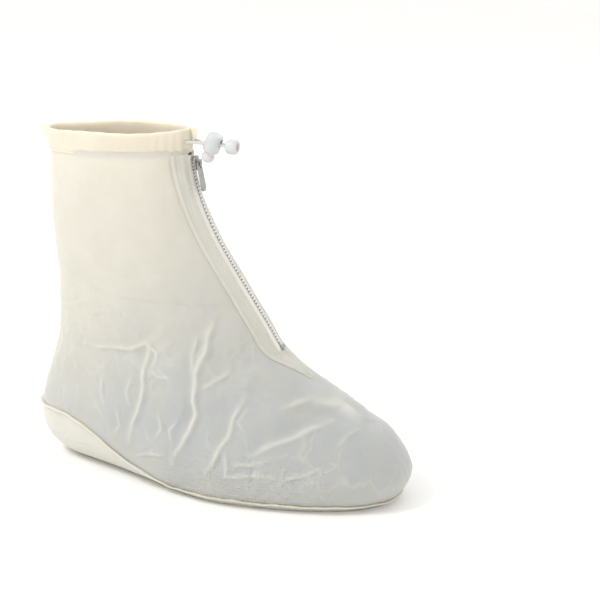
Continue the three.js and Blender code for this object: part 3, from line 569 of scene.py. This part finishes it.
def linear(code):
    """An sRGB hex colour as linear RGBA."""
    parts = [int(code[k : k + 2], 16) / 255 for k in (1, 3, 5)]
    return [p / 12.92 if p <= 0.04045 else ((p + 0.055) / 1.055) ** 2.4 for p in parts] + [1.0]


def new_material(name, settings):
    material = bpy.data.materials.new(name)
    material.use_nodes = True
    tree = material.node_tree
    tree.nodes.clear()
    shader = add_node(tree, "ShaderNodeBsdfPrincipled", settings)
    add_node(tree, "ShaderNodeOutputMaterial", links={"Surface": shader.outputs["BSDF"]})
    where = add_node(tree, "ShaderNodeTexCoord")
    return material, tree, shader, where


def math_of(tree, operation, *terms):
    """A Math node. Each term is a socket or a number."""
    made = add_node(tree, "ShaderNodeMath", {"operation": operation})
    for place, term in zip(made.inputs, terms):
        if isinstance(term, (int, float)):
            place.default_value = term
        else:
            tree.links.new(term, place)
    return made.outputs[0]


def ranged(tree, value, low, high, start=0.0, end=1.0, curve="LINEAR"):
    limits = {"From Min": low, "From Max": high, "To Min": start, "To Max": end, "interpolation_type": curve}
    return add_node(tree, "ShaderNodeMapRange", limits, {"Value": value}).outputs["Result"]


def cloudy(tree, place, scale, detail):
    return add_node(tree, "ShaderNodeTexNoise", {"Scale": scale, "Detail": detail}, {"Vector": place})


def blended(tree, share, first, second):
    """Two colours mixed by share. Each is a socket or a hex code."""
    made = add_node(tree, "ShaderNodeMix", {"data_type": "RGBA"}, {0: share})
    for place, colour in ((made.inputs[6], first), (made.inputs[7], second)):
        if isinstance(colour, str):
            place.default_value = linear(colour)
        else:
            tree.links.new(colour, place)
    return made.outputs[2]


def bumped(tree, strength, distance, height, under=None):
    links = {"Height": height}
    if under:
        links["Normal"] = under
    settings = {"Strength": strength, "Distance": distance}
    return add_node(tree, "ShaderNodeBump", settings, links).outputs["Normal"]


def embossed(tree, place, height, under):
    """The crepe grain pressed into the lowest 45 mm of the foot. Its 2.8 mm cells are coarser than real."""
    cells = add_node(tree, "ShaderNodeTexVoronoi", {"Scale": 360.0, "Randomness": 0.45}, {"Vector": place})
    near_floor = ranged(tree, height["Z"], 0.03, 0.048, 1.0, 0.0)
    behind = ranged(tree, height["X"], -0.045, -0.015)
    ahead = ranged(tree, height["X"], 0.085, 0.115, 1.0, 0.0)
    zone = math_of(tree, "MULTIPLY", near_floor, math_of(tree, "MULTIPLY", behind, ahead))
    grain = math_of(tree, "MULTIPLY", zone, cells.outputs["Distance"])
    return bumped(tree, 0.8, 0.0014, grain, under)


def wrinkle_net(tree, place, level):
    """Film that bends to and fro keeps a net of fine sharp wrinkles, about 24 mm apart, here and there."""
    bent = cloudy(tree, place, 34.0, 3.0).outputs["Color"]
    swayed = add_node(tree, "ShaderNodeVectorMath", {"operation": "MULTIPLY_ADD"}, {0: bent, 2: place})
    swayed.inputs[1].default_value = (0.03, 0.03, 0.03)
    stretched = add_node(tree, "ShaderNodeMapping", {"Scale": (1.0, 1.0, 0.5)}, {"Vector": swayed.outputs[0]})
    edges = {"feature": "DISTANCE_TO_EDGE", "Scale": 42.0}
    net = add_node(tree, "ShaderNodeTexVoronoi", edges, {"Vector": stretched.outputs["Vector"]})
    sharp = ranged(tree, net.outputs["Distance"], 0.0, 0.07, 1.0, 0.0)
    low_zone = ranged(tree, level, 0.11, 0.16, 1.0, 0.12)
    chosen = ranged(tree, cloudy(tree, place, 19.0, 1.0).outputs["Fac"], 0.47, 0.62)
    return math_of(tree, "MULTIPLY", math_of(tree, "MULTIPLY", sharp, low_zone), chosen)


def plasticised_film(name, low, high, grain_mm, grain_depth):
    """Calendered soft PVC, milky with filler: satin, slightly glowing, with a pebble from its rollers."""
    settings = {
        "IOR": 1.53,
        "Subsurface Weight": 0.5,
        "Subsurface Radius": (1.0, 0.86, 0.66),
        "Subsurface Scale": 0.005,
        "Coat Weight": 0.12,
        "Coat Roughness": 0.3,
    }
    material, tree, shader, where = new_material(name, settings)
    place = where.outputs["Object"]
    height = add_node(tree, "ShaderNodeSeparateXYZ", links={"Vector": place}).outputs
    # Painted shade: the low colour is grey over the foot in soft patches, standing for the shade of the shoe
    # inside seen through the film; the film turns to the cream high colour higher up, towards the heel and
    # near the floor.
    patches = cloudy(tree, place, 17.0, 3.0).outputs["Fac"]
    shifted = math_of(tree, "MULTIPLY_ADD", patches, 0.09, height["Z"])
    lighter_to_heel = ranged(tree, height["X"], -0.02, -0.115, 0.0, 0.055)
    by_floor = ranged(tree, height["Z"], 0.006, 0.05, 0.085, 0.0)
    clear_of_painted_shade = math_of(tree, "ADD", math_of(tree, "ADD", shifted, lighter_to_heel), by_floor)
    rise = ranged(tree, clear_of_painted_shade, 0.085, 0.28, curve="SMOOTHSTEP")
    colour = blended(tree, rise, low, high)
    mottle = cloudy(tree, place, 46.0, 4.0).outputs["Fac"]
    warm = blended(tree, ranged(tree, mottle, 0.35, 0.7, 0.0, 0.22), colour, "#C6C1A6")
    wrinkles = wrinkle_net(tree, place, height["Z"])
    # Painted highlight: the crease ridge tops and the fine wrinkle lines are mixed towards a paler colour, as
    # if lit.
    folded = add_node(tree, "ShaderNodeAttribute", {"attribute_name": "fold"}).outputs["Fac"]
    painted_highlight = math_of(tree, "MULTIPLY_ADD", wrinkles, 0.3, folded)
    tree.links.new(blended(tree, painted_highlight, warm, "#D8D5C6"), shader.inputs["Base Color"])
    tree.links.new(ranged(tree, mottle, 0.0, 1.0, 0.34, 0.5), shader.inputs["Roughness"])
    ripple = bumped(tree, 0.35, 0.0012, cloudy(tree, place, 85.0, 2.0).outputs["Fac"])
    lined = bumped(tree, 0.5, 0.0009, wrinkles, ripple)
    pressed = embossed(tree, place, height, lined)
    grain = {"Scale": 1000 / grain_mm, "Randomness": 0.8}
    pebble = add_node(tree, "ShaderNodeTexVoronoi", grain, {"Vector": place}).outputs["Distance"]
    tree.links.new(bumped(tree, grain_depth, 0.0002, pebble, pressed), shader.inputs["Normal"])
    return material


def woven_tape():
    """Woven polyester tape: matt, with a rib across it, drawn coarser than the real 0.6 mm to show."""
    settings = {"Roughness": 0.82, "Sheen Weight": 0.25, "Sheen Roughness": 0.5}
    material, tree, shader, where = new_material("woven_polyester_tape", settings)
    bands = {"Scale": 300.0, "bands_direction": "Z", "Distortion": 0.6}
    rib = add_node(tree, "ShaderNodeTexWave", bands, {"Vector": where.outputs["Object"]}).outputs["Fac"]
    # Painted shade: the troughs between the ribs are coloured darker, as if shaded.
    tree.links.new(blended(tree, rib, "#D6D3CA", "#F0EDE6"), shader.inputs["Base Color"])
    tree.links.new(bumped(tree, 0.5, 0.0003, rib), shader.inputs["Normal"])
    return material


def braided_cord():
    """Braided polyester cord: two sets of strands that cross at a slant, off-white and matt."""
    settings = {"Roughness": 0.72, "Sheen Weight": 0.2}
    material, tree, shader, where = new_material("braided_polyester_cord", settings)
    split = add_node(tree, "ShaderNodeSeparateXYZ", links={"Vector": where.outputs["UV"]}).outputs
    strands = []
    for lean in (1, -1):
        pitch = math_of(tree, "MULTIPLY", split["Y"], 420.0 * lean * 2 * math.pi)
        turn = math_of(tree, "MULTIPLY_ADD", split["X"], 4 * 2 * math.pi, pitch)
        strands.append(math_of(tree, "SINE", turn))
    level = ranged(tree, math_of(tree, "MAXIMUM", *strands), -1.0, 1.0)
    # Painted shade: the dips between the strands are coloured darker, as if shaded.
    tree.links.new(blended(tree, level, "#A9A8A4", "#E4E3E0"), shader.inputs["Base Color"])
    tree.links.new(bumped(tree, 0.6, 0.0003, level), shader.inputs["Normal"])
    return material


def moulded(name, dark, light, settings, grain):
    """A moulded or die-cast surface: two close tones in soft patches, and a faint skin texture."""
    material, tree, shader, where = new_material(name, settings)
    place = where.outputs["Object"]
    patches = cloudy(tree, place, 140.0, 3.0).outputs["Fac"]
    tree.links.new(blended(tree, patches, dark, light), shader.inputs["Base Color"])
    skin = cloudy(tree, place, 1600.0, 2.0).outputs["Fac"]
    tree.links.new(bumped(tree, grain, 0.0001, skin), shader.inputs["Normal"])
    return material


MATERIALS = {}


def use(name):
    """Each material is made once, when a piece first asks for it."""
    if name not in MATERIALS:
        nylon = {"Roughness": 0.36, "IOR": 1.53, "Subsurface Weight": 0.1}
        zinc = {"Roughness": 0.38, "Metallic": 0.85}
        acetal = {"Roughness": 0.35, "IOR": 1.48}
        makers = {
            # For each film, the first colour is its painted shade grey and the second its cream.
            "film": lambda: plasticised_film("milky_pvc_film", "#B4B5B3", "#DCD4C3", 0.9, 0.12),
            "sole": lambda: plasticised_film("embossed_pvc_sheet", "#CFCDC4", "#DDD9CC", 1.4, 0.5),
            "weld": lambda: plasticised_film("welded_pvc_edge", "#CAC7B9", "#E0D9C8", 0.9, 0.08),
            "tape": woven_tape,
            "cord": braided_cord,
            "teeth": lambda: moulded("acetal_teeth", "#D6D6D4", "#EAEAE8", acetal, 0.1),
            "metal": lambda: moulded("die_cast_zinc", "#8F8F8E", "#B4B4B2", zinc, 0.15),
            "lock": lambda: moulded("moulded_nylon", "#C0BFC0", "#D9D8D9", nylon, 0.12),
        }
        MATERIALS[name] = makers[name]()
    return MATERIALS[name]


# Settings


class ShoeCoverFilm(bpy.types.PropertyGroup):
    thickness: FloatProperty(
        name="Film thickness", description="Wall of the upper", default=0.0006, unit="LENGTH"
    )
    crumple: FloatProperty(
        name="Crumple", description="Strength of the creases and slack in the film", default=1.0, min=0, max=2
    )
    weld_reach: FloatProperty(
        name="Weld reach", description="How far the sole's weld stands out", default=0.0024, unit="LENGTH"
    )
    fin_reach: FloatProperty(
        name="Back seam reach", description="How far the back seam stands out", default=0.0032, unit="LENGTH"
    )


class ShoeCoverZip(bpy.types.PropertyGroup):
    pitch: FloatProperty(
        name="Tooth pitch", description="From tooth to tooth on one side", default=0.0026, unit="LENGTH"
    )
    tooth: FloatVectorProperty(
        name="Tooth size", description="Out of the film, across the zip and along it",
        default=(0.0021, 0.0026, 0.0017), unit="LENGTH",
    )


class ShoeCoverCord(bpy.types.PropertyGroup):
    diameter: FloatProperty(
        name="Cord diameter", description="Drawstring thickness", default=0.0022, unit="LENGTH"
    )


class ShoeCoverStage(bpy.types.PropertyGroup):
    floor: FloatProperty(name="Floor size", description="Side of the pale floor", default=12.0, unit="LENGTH")
    key: FloatProperty(name="Key light", description="Power of the main light in watts", default=11.0)


# Operators


# The camera, fitted to the photograph: azimuth, elevation and roll in degrees, distance in m, then pixels
CAMERA_ANGLES = (21.07, 20.0, -1.21)
CAMERA_DISTANCE = 1.15894
FOCAL_PIXELS = 1496.94
CENTRE_PIXEL = (223.83, 331.89)
PICTURE = 600
SENSOR = 36


class SHOECOVER_OT_stage(bpy.types.Operator):
    """Make the camera, the pale floor and the soft lights"""

    bl_idname = "shoecover.stage"
    bl_label = "Stage"

    def execute(self, context):
        settings = context.scene.shoe_cover_stage
        azimuth, elevation, roll = (math.radians(angle) for angle in CAMERA_ANGLES)
        back = Vector(
            (
                math.sin(azimuth) * math.cos(elevation),
                -math.cos(azimuth) * math.cos(elevation),
                math.sin(elevation),
            )
        )
        right = Vector((math.cos(azimuth), math.sin(azimuth), 0))
        up = back.cross(right)
        turned_right = right * math.cos(roll) - up * math.sin(roll)
        turned_up = right * math.sin(roll) + up * math.cos(roll)
        aside = (PICTURE / 2 - CENTRE_PIXEL[0]) / FOCAL_PIXELS
        above_centre = (CENTRE_PIXEL[1] - PICTURE / 2) / FOCAL_PIXELS
        aim = -back + turned_right * aside + turned_up * above_centre
        camera = bpy.data.cameras.new("camera")
        camera.lens = FOCAL_PIXELS * SENSOR / PICTURE
        camera.sensor_width = SENSOR
        camera.clip_start = 0.05
        camera.clip_end = 60
        eye = bpy.data.objects.new("camera", camera)
        context.collection.objects.link(eye)
        depth = (-aim).normalized()
        across = turned_up.cross(depth).normalized()
        above = depth.cross(across)
        place = Matrix((across, above, depth)).transposed().to_4x4()
        place.translation = Vector((0, 0, 0.12)) + back * CAMERA_DISTANCE
        eye.matrix_world = place
        context.scene.camera = eye
        self.floor(context, settings.floor)
        self.lights(context, settings.key)
        return {"FINISHED"}

    def floor(self, context, size):
        half = size / 2
        corners = [(-half, -half, 0), (half, -half, 0), (half, half, 0), (-half, half, 0)]
        floor = bpy.data.objects.new("floor", mesh_of("floor", corners, [[0, 1, 2, 3]]))
        material, tree, shader, where = new_material("painted_white_floor", {"Roughness": 0.75})
        wash = cloudy(tree, where.outputs["Object"], 3.0, 2.0).outputs["Fac"]
        tree.links.new(blended(tree, wash, "#F7F7F6", "#FBFBFB"), shader.inputs["Base Color"])
        floor.data.materials.append(material)
        context.collection.objects.link(floor)

    def lights(self, context, key):
        world = bpy.data.worlds.new("studio")
        world.use_nodes = True
        sky = world.node_tree.nodes["Background"]
        sky.inputs["Color"].default_value = linear("#FFFEFC")
        sky.inputs["Strength"].default_value = 1.04
        context.scene.world = world
        context.scene.view_settings.view_transform = "Standard"
        aims = (
            ("key", (-0.8, -0.75, 1.4), key, 0.4),
            ("back", (0.3, 1.3, 1.2), key * 0.3, 0.8),
        )
        for name, place, power, size in aims:
            light = bpy.data.lights.new(name, "AREA")
            light.energy = power
            light.size = size
            lamp = bpy.data.objects.new(name, light)
            lamp.location = place
            aim = Vector((0, 0, 0.1)) - Vector(place)
            lamp.rotation_euler = aim.to_track_quat("-Z", "Y").to_euler()
            context.collection.objects.link(lamp)


def upper_columns():
    """Places across the film: closely spaced by arc at the front, then evenly by share to the back."""
    near = np.concatenate([np.linspace(0.0017, SLIT_HALF, 2), np.linspace(0.0066, 0.026, 13)])
    far = np.interp(np.linspace(0, 1, 262), (0, 0.22, 0.8, 1), (0, 0.33, 0.74, 1))[1:]
    return near, far


def upper_grid():
    """Levels and shares round the film for each side, row by row up to the hem, closest on the foot."""
    near, far = upper_columns()
    shaft_rows = np.linspace(ROWS_CHANGE, 1, SHAFT_ROWS)[1:]
    t = np.concatenate([np.linspace(0, ROWS_CHANGE, FOOT_ROWS), shaft_rows])[:, None]
    sides = []
    for side in (-1, 1):
        start = near / FRONT_GIRTH
        guess = np.concatenate([start, start[-1] + (1 - start[-1]) * far])
        foot = seam_height(side * guess)
        z = foot[None] + SEAM_GAP + (FILM_TOP + TUCK - foot[None] - SEAM_GAP) * t
        start = share_of(z, near[-1])
        share = np.empty_like(z)
        share[:, : len(near)] = share_of(z[:, : len(near)], near[None])
        share[:, len(near) :] = start[:, len(near) :] + (1 - start[:, len(near) :]) * far[None]
        centre = np.concatenate([z[:, :1], z], axis=1)
        sides.append((centre, side * np.concatenate([np.zeros_like(z[:, :1]), share], axis=1)))
    return sides


class SHOECOVER_OT_upper(bpy.types.Operator):
    """Make the crumpled film upper with its back seam"""

    bl_idname = "shoecover.upper"
    bl_label = "Upper"

    def execute(self, context):
        settings = context.scene.shoe_cover_film
        self.wall = settings.thickness
        last = FOOT_ROWS - 1
        shaft = []
        for name, (z, share) in zip(("right", "left"), upper_grid()):
            points = plain(z, share)
            relief, fold = film_relief(z, share, points, settings.crumple)
            points = points + outward(z, share) * relief[..., None]
            lower = slice(0, last + 1)
            self.film("upper_film_" + name, z[lower], share[lower], points[lower], fold[lower])
            order = slice(None, None, -1) if name == "left" else slice(1, None)
            shaft.append([table[last:, order] for table in (z, share, points, fold)])
        right, left = shaft
        joined = [np.concatenate([b, a], axis=1) for a, b in zip(right, left)]
        self.film("upper_film_shaft", *joined)
        self.back_seam(settings.fin_reach)
        self.gusset()
        return {"FINISHED"}

    def film(self, name, z, share, points, fold):
        """One sheet of the film, open where the zip's slit is, and turned so that its wall grows inwards."""
        faces = grid_faces(*z.shape)
        arc = np.abs(share.ravel()) * np.interp(z.ravel(), FORM_Z, FORM_GIRTH)
        in_slit = (arc < SLIT_HALF + 1e-5) & (z.ravel() > ZIP_FOOT)
        faces = faces[~in_slit[faces].all(axis=1)]
        a, b, c = (points.reshape(-1, 3)[faces[len(faces) // 2, k]] for k in (0, 1, 2))
        middle = outward(z, share).reshape(-1, 3)[faces[len(faces) // 2, 0]]
        if np.cross(b - a, c - b) @ middle < 0:
            faces = faces[:, ::-1]
        mesh = thickened(points, faces, self.wall, name, fold)
        add_piece(name, mesh, use("film"), replaces=["upper"], sharp=60)

    def back_seam(self, reach):
        """A flat, slightly wavy weld down the middle of the back, which flares to an ear at the rim."""
        z = np.linspace(SEAM_AT_HEEL + 0.001, TOP, 90)
        base = plain(z, np.ones_like(z))
        flare = HEM_FLARE * (0.5 + (z - HEM_MIDDLE) / HEM_HEIGHT) * (z > FILM_TOP)
        sway = 0.0005 * np.sin(60 * z) + 0.00025 * np.sin(170 * z + 1)
        out = reach * (1 + 0.12 * np.sin(90 * z)) + 0.0022 * smooth(TOP - 0.02, TOP, z)
        rows = []
        for height, x, wave, far, lean in zip(z, base[:, 0], sway, out, flare):
            edge = fin_section(x - lean + 0.0008, x - far - lean)
            rows.append([(px, py + wave * (x - px) / 0.004, height) for px, py in edge])
        fin_piece("back_seam", rows)

    def gusset(self):
        """The bellows panel behind the zip, folded into one soft pleat on each side."""
        z = np.linspace(ZIP_FOOT - 0.012, FILM_TOP - 0.0005, 70)[:, None]
        arc = np.linspace(-GUSSET_HALF, GUSSET_HALF, 49)[None]
        z, arc = np.broadcast_arrays(z, arc)
        share = share_of(z, arc)
        deep = 0.0021 + 0.0024 * (1 - smooth(0.35 * GUSSET_HALF, 0.75 * GUSSET_HALF, np.abs(arc)))
        pleat = 0.0005 * np.cos(arc / GUSSET_HALF * 5 * np.pi)
        points = plain(z, share) - outward(z, share) * (deep + pleat)[..., None]
        mesh = thickened(points, grid_faces(*z.shape)[:, ::-1], SHEET, "gusset_film")
        add_piece("gusset_film", mesh, use("film"), replaces=["gusset"])


class SHOECOVER_OT_sole(bpy.types.Operator):
    """Make the thicker sole, its grip dots and the weld round it"""

    bl_idname = "shoecover.sole"
    bl_label = "Sole"

    def execute(self, context):
        settings = context.scene.shoe_cover_film
        count = 300
        share = np.linspace(-1, 1, count, endpoint=False)
        top = seam_height(share) - SEAM_GAP
        layers = []
        for k in (0.0, 0.3, 0.55, 0.75, 0.9, 1.0):
            ring = plain(np.zeros(count), share) * k
            ring[:, 2] = SOLE_LIFT
            layers.append(ring)
        for t in np.linspace(0, 1, 10)[1:]:
            layers.append(plain(SOLE_LIFT + (top - SOLE_LIFT) * t, share))
        for t in np.linspace(1, 0, 8):
            z = SOLE_INSIDE + (top - SOLE_INSIDE) * t
            inner = plain(z, share) - outward(z, share) * SOLE_WALL
            inner[:, 2] = z
            layers.append(inner)
        for k in (0.75, 0.4, 0.0):
            layers.append(layers[-1] * [k, k, 1])
        points = np.array(layers)
        faces = grid_faces(len(layers), count, ring=True)
        mesh = mesh_of("sole_sheet", points, faces)
        tidy_mesh(mesh, 1e-6)
        add_piece("sole_sheet", mesh, use("sole"), replaces=["sole"])
        self.welt(share, settings.weld_reach)
        self.grip()
        return {"FINISHED"}

    def welt(self, share, reach):
        """The flange where the film and the sole are welded together, a little wavy."""
        height = seam_height(share)
        wave = 0.0003 * np.sin(share * 55) + 0.0002 * np.sin(share * 131 + 0.7)
        normal = level_outward(height, share)
        out = reach * (1 + 0.08 * np.sin(share * 83 + 0.4))
        section = ((-0.1, -0.5), (0.75, -0.45), (1.0, 0.0), (0.75, 0.45), (-0.1, 0.5))
        rows = []
        for across, up in section:
            z = height + up * 0.0013 + wave
            point = plain(z, share) + normal * (across * out + 0.0002)[:, None]
            point[:, 2] = z
            rows.append(point)
        points = np.array(rows)
        mesh = mesh_of("weld_flange", points, band_faces(len(section), len(share)))
        tidy_mesh(mesh)
        add_piece("weld_flange", mesh, use("weld"), replaces=["sole_welt"])

    def grip(self):
        """Low grip dots on the underside, in staggered rows."""
        edge = plain(np.zeros(361), np.linspace(-1, 1, 361))[:, :2] * 0.95
        angle = np.arctan2(edge[:, 1], edge[:, 0])
        order = np.argsort(angle)
        reach = np.hypot(edge[:, 0], edge[:, 1])[order]
        angle = angle[order]
        places = []
        for row, x in enumerate(np.arange(-0.132, 0.132, 0.0046)):
            for y in np.arange(-0.055, 0.056, 0.0054) + (row % 2) * 0.0027:
                limit = np.interp(math.atan2(y, x), angle, reach, period=2 * math.pi)
                if math.hypot(x, y) < limit:
                    places.append(((x, y, 0.0006), (0, 0, 0)))
        mesh = repeated("grip_dots", places, (0.0034, 0.0026, 0.0014), use("sole"))
        add_piece("grip_dots", mesh, use("sole"))


class SHOECOVER_OT_hem(bpy.types.Operator):
    """Make the drawstring hem and its front tab"""

    bl_idname = "shoecover.hem"
    bl_label = "Hem"

    def execute(self, context):
        count = 420
        share = np.linspace(-1, 1, count, endpoint=False)
        level = np.full(count, HEM_MIDDLE)
        base = plain(level, share)
        normal = level_outward(level, share)
        girth = np.interp(HEM_MIDDLE, FORM_Z, FORM_GIRTH)
        arc = share * girth
        gather = 0.00022 * np.sin(arc * MM * 0.95) * hump(np.abs(arc), 0, 0.045)
        gather += 0.00018 * np.sin(arc * MM * 0.31 + 0.8)
        exits = 0.0009 * hump(np.abs(arc), 0.0125, 0.003)
        # Profile of the folded band, out and up from its middle, in mm: flat weld, pocket and rounded fold
        profile = (
            (0.2, -9.0), (-1.0, -6.6), (-2.0, -5.4), (-2.3, 0.0), (-2.1, 5.4), (-1.6, 7.6), (-0.7, 8.8),
            (0.3, 9.0), (1.2, 8.6), (1.8, 7.4), (2.2, 5.0), (2.7, 0.0), (2.6, -4.6), (2.4, -5.9), (2.2, -6.4),
            (2.2, -6.9), (2.45, -7.4), (2.5, -8.8), (2.1, -9.1),
        )
        rows = []
        for across, up in profile:
            z = HEM_MIDDLE + up / MM
            lean = HEM_FLARE * smooth(0.7, 1, np.abs(share)) * (0.5 + up / 18)
            drawn = gather * (0.35 + 0.65 * (up < 6)) * (1 if across > 0 else 0.6)
            out = HEM_CENTRE + across / MM + lean + drawn
            out = out + exits * hump(up, 0, 5.5) * (across > 0)
            point = base + normal * out[:, None]
            droop = 0.0005 * np.sin(arc * MM * 0.08 + 2.2) * (up > 0) + 0.00015 * np.sin(arc * MM * 0.4)
            point[:, 2] = z + droop * smooth(0, 9, abs(up))
            rows.append(point)
        mesh = mesh_of("hem_band", np.array(rows), band_faces(len(profile), count))
        tidy_mesh(mesh)
        made = finished(mesh, [("SUBSURF", {"levels": 1, "render_levels": 1})])
        add_piece("hem_band", made, use("film"), replaces=["casing"], sharp=0)
        self.front_tab()
        return {"FINISHED"}

    def front_tab(self):
        """The end of the front weld, which stands out as a small flat ear at the rim."""
        z = np.linspace(TOP - 0.0125, TOP + 0.0008, 16)
        front = plain(np.full_like(z, HEM_MIDDLE), np.zeros_like(z))[:, 0]
        reach = 0.0046 * smooth(TOP - 0.014, TOP - 0.004, z)
        rows = []
        for height, x, far in zip(z, front, reach):
            rows.append([(px, py, height) for px, py in fin_section(x + 0.0001, x + 0.0006 + far)])
        fin_piece("front_tab", rows)


def strip_points(z, arc, lift):
    share = share_of(z, arc)
    return plain(z, share) + outward(z, share) * np.asarray(lift)[..., None]


class SHOECOVER_OT_zip(bpy.types.Operator):
    """Make the zip: its welded band, tapes, teeth, slider and pull"""

    bl_idname = "shoecover.zip"
    bl_label = "Zip"

    def execute(self, context):
        self.placket()
        settings = context.scene.shoe_cover_zip
        for name, side in (("left", 1), ("right", -1)):
            self.tape(name, side)
            self.teeth(name, side, settings)
        self.stitches()
        softened_node("slider", "zip_slider", 0.0003, use("metal"))
        softened_node("pull_tab", "zip_pull", 0.0003, use("metal"), "pull")
        softened_node("end_stop", "zip_bottom_stop", 0.0005, use("metal"))
        return {"FINISHED"}

    def placket(self):
        """The film band that carries the zip, welded on along two raised beads, with its pointed foot."""
        bottom = ZIP_FOOT - 0.020
        z = np.linspace(bottom, FILM_TOP, 110)
        inner = np.where(z > ZIP_FOOT - 0.0004, 0.0063, 0.0)
        reach = PLACKET_HALF * (0.12 + 0.88 * smooth(bottom - 0.004, ZIP_FOOT + 0.004, z))
        t = np.linspace(0, 1, 28)
        for name, side in (("left", 1), ("right", -1)):
            arc = inner[:, None] + (reach - inner)[:, None] * t[None]
            height = np.broadcast_to(z[:, None], arc.shape)
            from_edge = reach[:, None] - arc
            bead = 0.00055 * hump(from_edge, 0.0022, 0.0008) - 0.00025 * hump(from_edge, 0.0042, 0.001)
            fold = 0.0005 * hump(arc, 0.0105, 0.0016) * (height > ZIP_FOOT)
            slack = 0.00025 * np.sin(height * 180 + arc * 260) * smooth(0, 0.004, from_edge)
            lift = 0.0007 - 0.0003 * (1 - smooth(bottom, ZIP_FOOT, height)) + bead + fold + slack
            points = strip_points(height, side * arc, lift)
            faces = grid_faces(*arc.shape)
            mesh = thickened(points, faces if side > 0 else faces[:, ::-1], SHEET, "zip_band_" + name)
            replaced = ["zip_placket"] if side > 0 else []
            add_piece("zip_band_" + name, mesh, use("weld"), replaces=replaced, sharp=60)

    def tape(self, name, side):
        z = np.linspace(ZIP_FOOT, ZIP_TOP + 0.0015, 110)[:, None]
        arc = np.linspace(0.0007, 0.0072, 10)[None]
        z, arc = np.broadcast_arrays(z, arc)
        points = strip_points(z, side * arc, 0.0004 + 0.0003 * hump(arc, 0.0035, 0.0006))
        faces = grid_faces(*z.shape)
        mesh = thickened(points, faces if side > 0 else faces[:, ::-1], 0.0004, "tape_" + name)
        add_piece("tape_" + name, mesh, use("tape"), replaces=["zip_tape_" + name])

    def teeth(self, name, side, settings):
        """One block for each tooth. The two sides are half a pitch apart, so they mesh."""
        length = ZIP_TOP - 0.003 - ZIP_FOOT - 0.004
        count = int(length / (settings.pitch * 0.86))
        places = []
        for k in range(count):
            z = ZIP_FOOT + 0.004 + length * (k + (0.25 if side > 0 else 0.75)) / count
            places.append(self.tooth_place(z, side * 0.0011, 0.0014))
        mesh = repeated("teeth_" + name, places, tuple(settings.tooth), use("teeth"))
        add_piece("teeth_" + name, mesh, use("teeth"), replaces=["zip_coil_" + name], sharp=0)

    def tooth_place(self, z, arc, lift):
        """A place over the film and its turn, with X out of the film, Y across the zip and Z along it."""
        height = np.array([z - 0.001, z, z + 0.001])
        share = share_of(height, np.full(3, arc))
        places = raised(plain(height, share))
        along = Vector(places[2] - places[0]).normalized()
        across = along.cross(Vector(outward(height, share)[1])).normalized()
        out = across.cross(along)
        turn = Matrix((out, across, out.cross(across))).transposed().to_euler()
        return Vector(places[1]) + out * lift, turn

    def stitches(self):
        """Two rows of stitches hold each tape to the band. Each stitch is 2.2 mm long."""
        places = []
        for side in (1, -1):
            for z in np.arange(ZIP_FOOT + 0.003, ZIP_TOP - 0.001, 0.0029):
                places.append(self.tooth_place(z, side * 0.0086, 0.0009))
        mesh = repeated("stitches", places, (0.0006, 0.0007, 0.0024), use("tape"))
        add_piece("stitches", mesh, use("tape"), sharp=0)


# The left tail's route, from the hem to the cord end, as in the solids. y is turned round for the right one.
TAIL_ROUTE = (
    (-0.03204, 0.0073, 0.25888), (-0.02746, 0.00467, 0.25843), (-0.02269, 0.00242, 0.25802),
    (-0.0175, 0.00151, 0.258), (-0.01221, 0.00136, 0.25805), (-0.00691, 0.0014, 0.25804),
    (-0.00165, 0.0014, 0.2576), (0.00364, 0.0014, 0.2574),
)


class SHOECOVER_OT_cords(bpy.types.Operator):
    """Make the drawstring's two tails, the cord lock and the cord end"""

    bl_idname = "shoecover.cords"
    bl_label = "Cords and lock"

    def execute(self, context):
        diameter = context.scene.shoe_cover_cord.diameter
        nylon = use("lock")
        body = softened_node("lock_barrel", "cord_lock_body", 0.0005, nylon)
        plunger = softened_node("lock_button", "cord_lock_plunger", 0.0005, nylon, "plunger")
        bell = softened_node("cord_bell", "cord_end", 0.0005, nylon)
        for name, side in (("left", 1), ("right", -1)):
            turned = raised([(x, side * y, z) for x, y, z in TAIL_ROUTE])
            route, length = smooth_route(turned, 90)
            mesh = tube_mesh("tail_" + name, route, diameter / 2, 16)
            stood_for = ["cord_tail_" + name]
            tail = add_piece("tail_" + name, mesh, use("cord"), replaces=stood_for, sharp=0)
        inner = bpy.data.objects["drawstring"]
        inner.data.materials.clear()
        inner.data.materials.append(use("cord"))
        return {"FINISHED"}


class SHOECOVER_PT_panel(bpy.types.Panel):
    bl_label = "Shoe cover"
    bl_idname = "SHOECOVER_PT_panel"
    bl_space_type = "VIEW_3D"
    bl_region_type = "UI"
    bl_category = "Shoe cover"

    def draw(self, context):
        for group in GROUPS:
            settings = getattr(context.scene, group)
            for key in type(settings).__annotations__:
                self.layout.prop(settings, key)
        for operator in OPERATORS:
            self.layout.operator(operator.bl_idname)


GROUPS = {
    "shoe_cover_film": ShoeCoverFilm,
    "shoe_cover_zip": ShoeCoverZip,
    "shoe_cover_cord": ShoeCoverCord,
    "shoe_cover_stage": ShoeCoverStage,
}
OPERATORS = (
    SHOECOVER_OT_stage,
    SHOECOVER_OT_cords,
    SHOECOVER_OT_upper,
    SHOECOVER_OT_sole,
    SHOECOVER_OT_hem,
    SHOECOVER_OT_zip,
)


def register():
    for made in (*GROUPS.values(), *OPERATORS, SHOECOVER_PT_panel):
        bpy.utils.register_class(made)
    for name, group in GROUPS.items():
        setattr(bpy.types.Scene, name, PointerProperty(type=group))


def unregister():
    for name in GROUPS:
        delattr(bpy.types.Scene, name)
    for made in reversed((*GROUPS.values(), *OPERATORS, SHOECOVER_PT_panel)):
        bpy.utils.unregister_class(made)


def main():
    register()
    bpy.ops.shoecover.stage()
    bpy.ops.shoecover.cords()
    bpy.ops.shoecover.upper()
    bpy.ops.shoecover.sole()
    bpy.ops.shoecover.hem()
    bpy.ops.shoecover.zip()


if __name__ == "__main__":
    main()
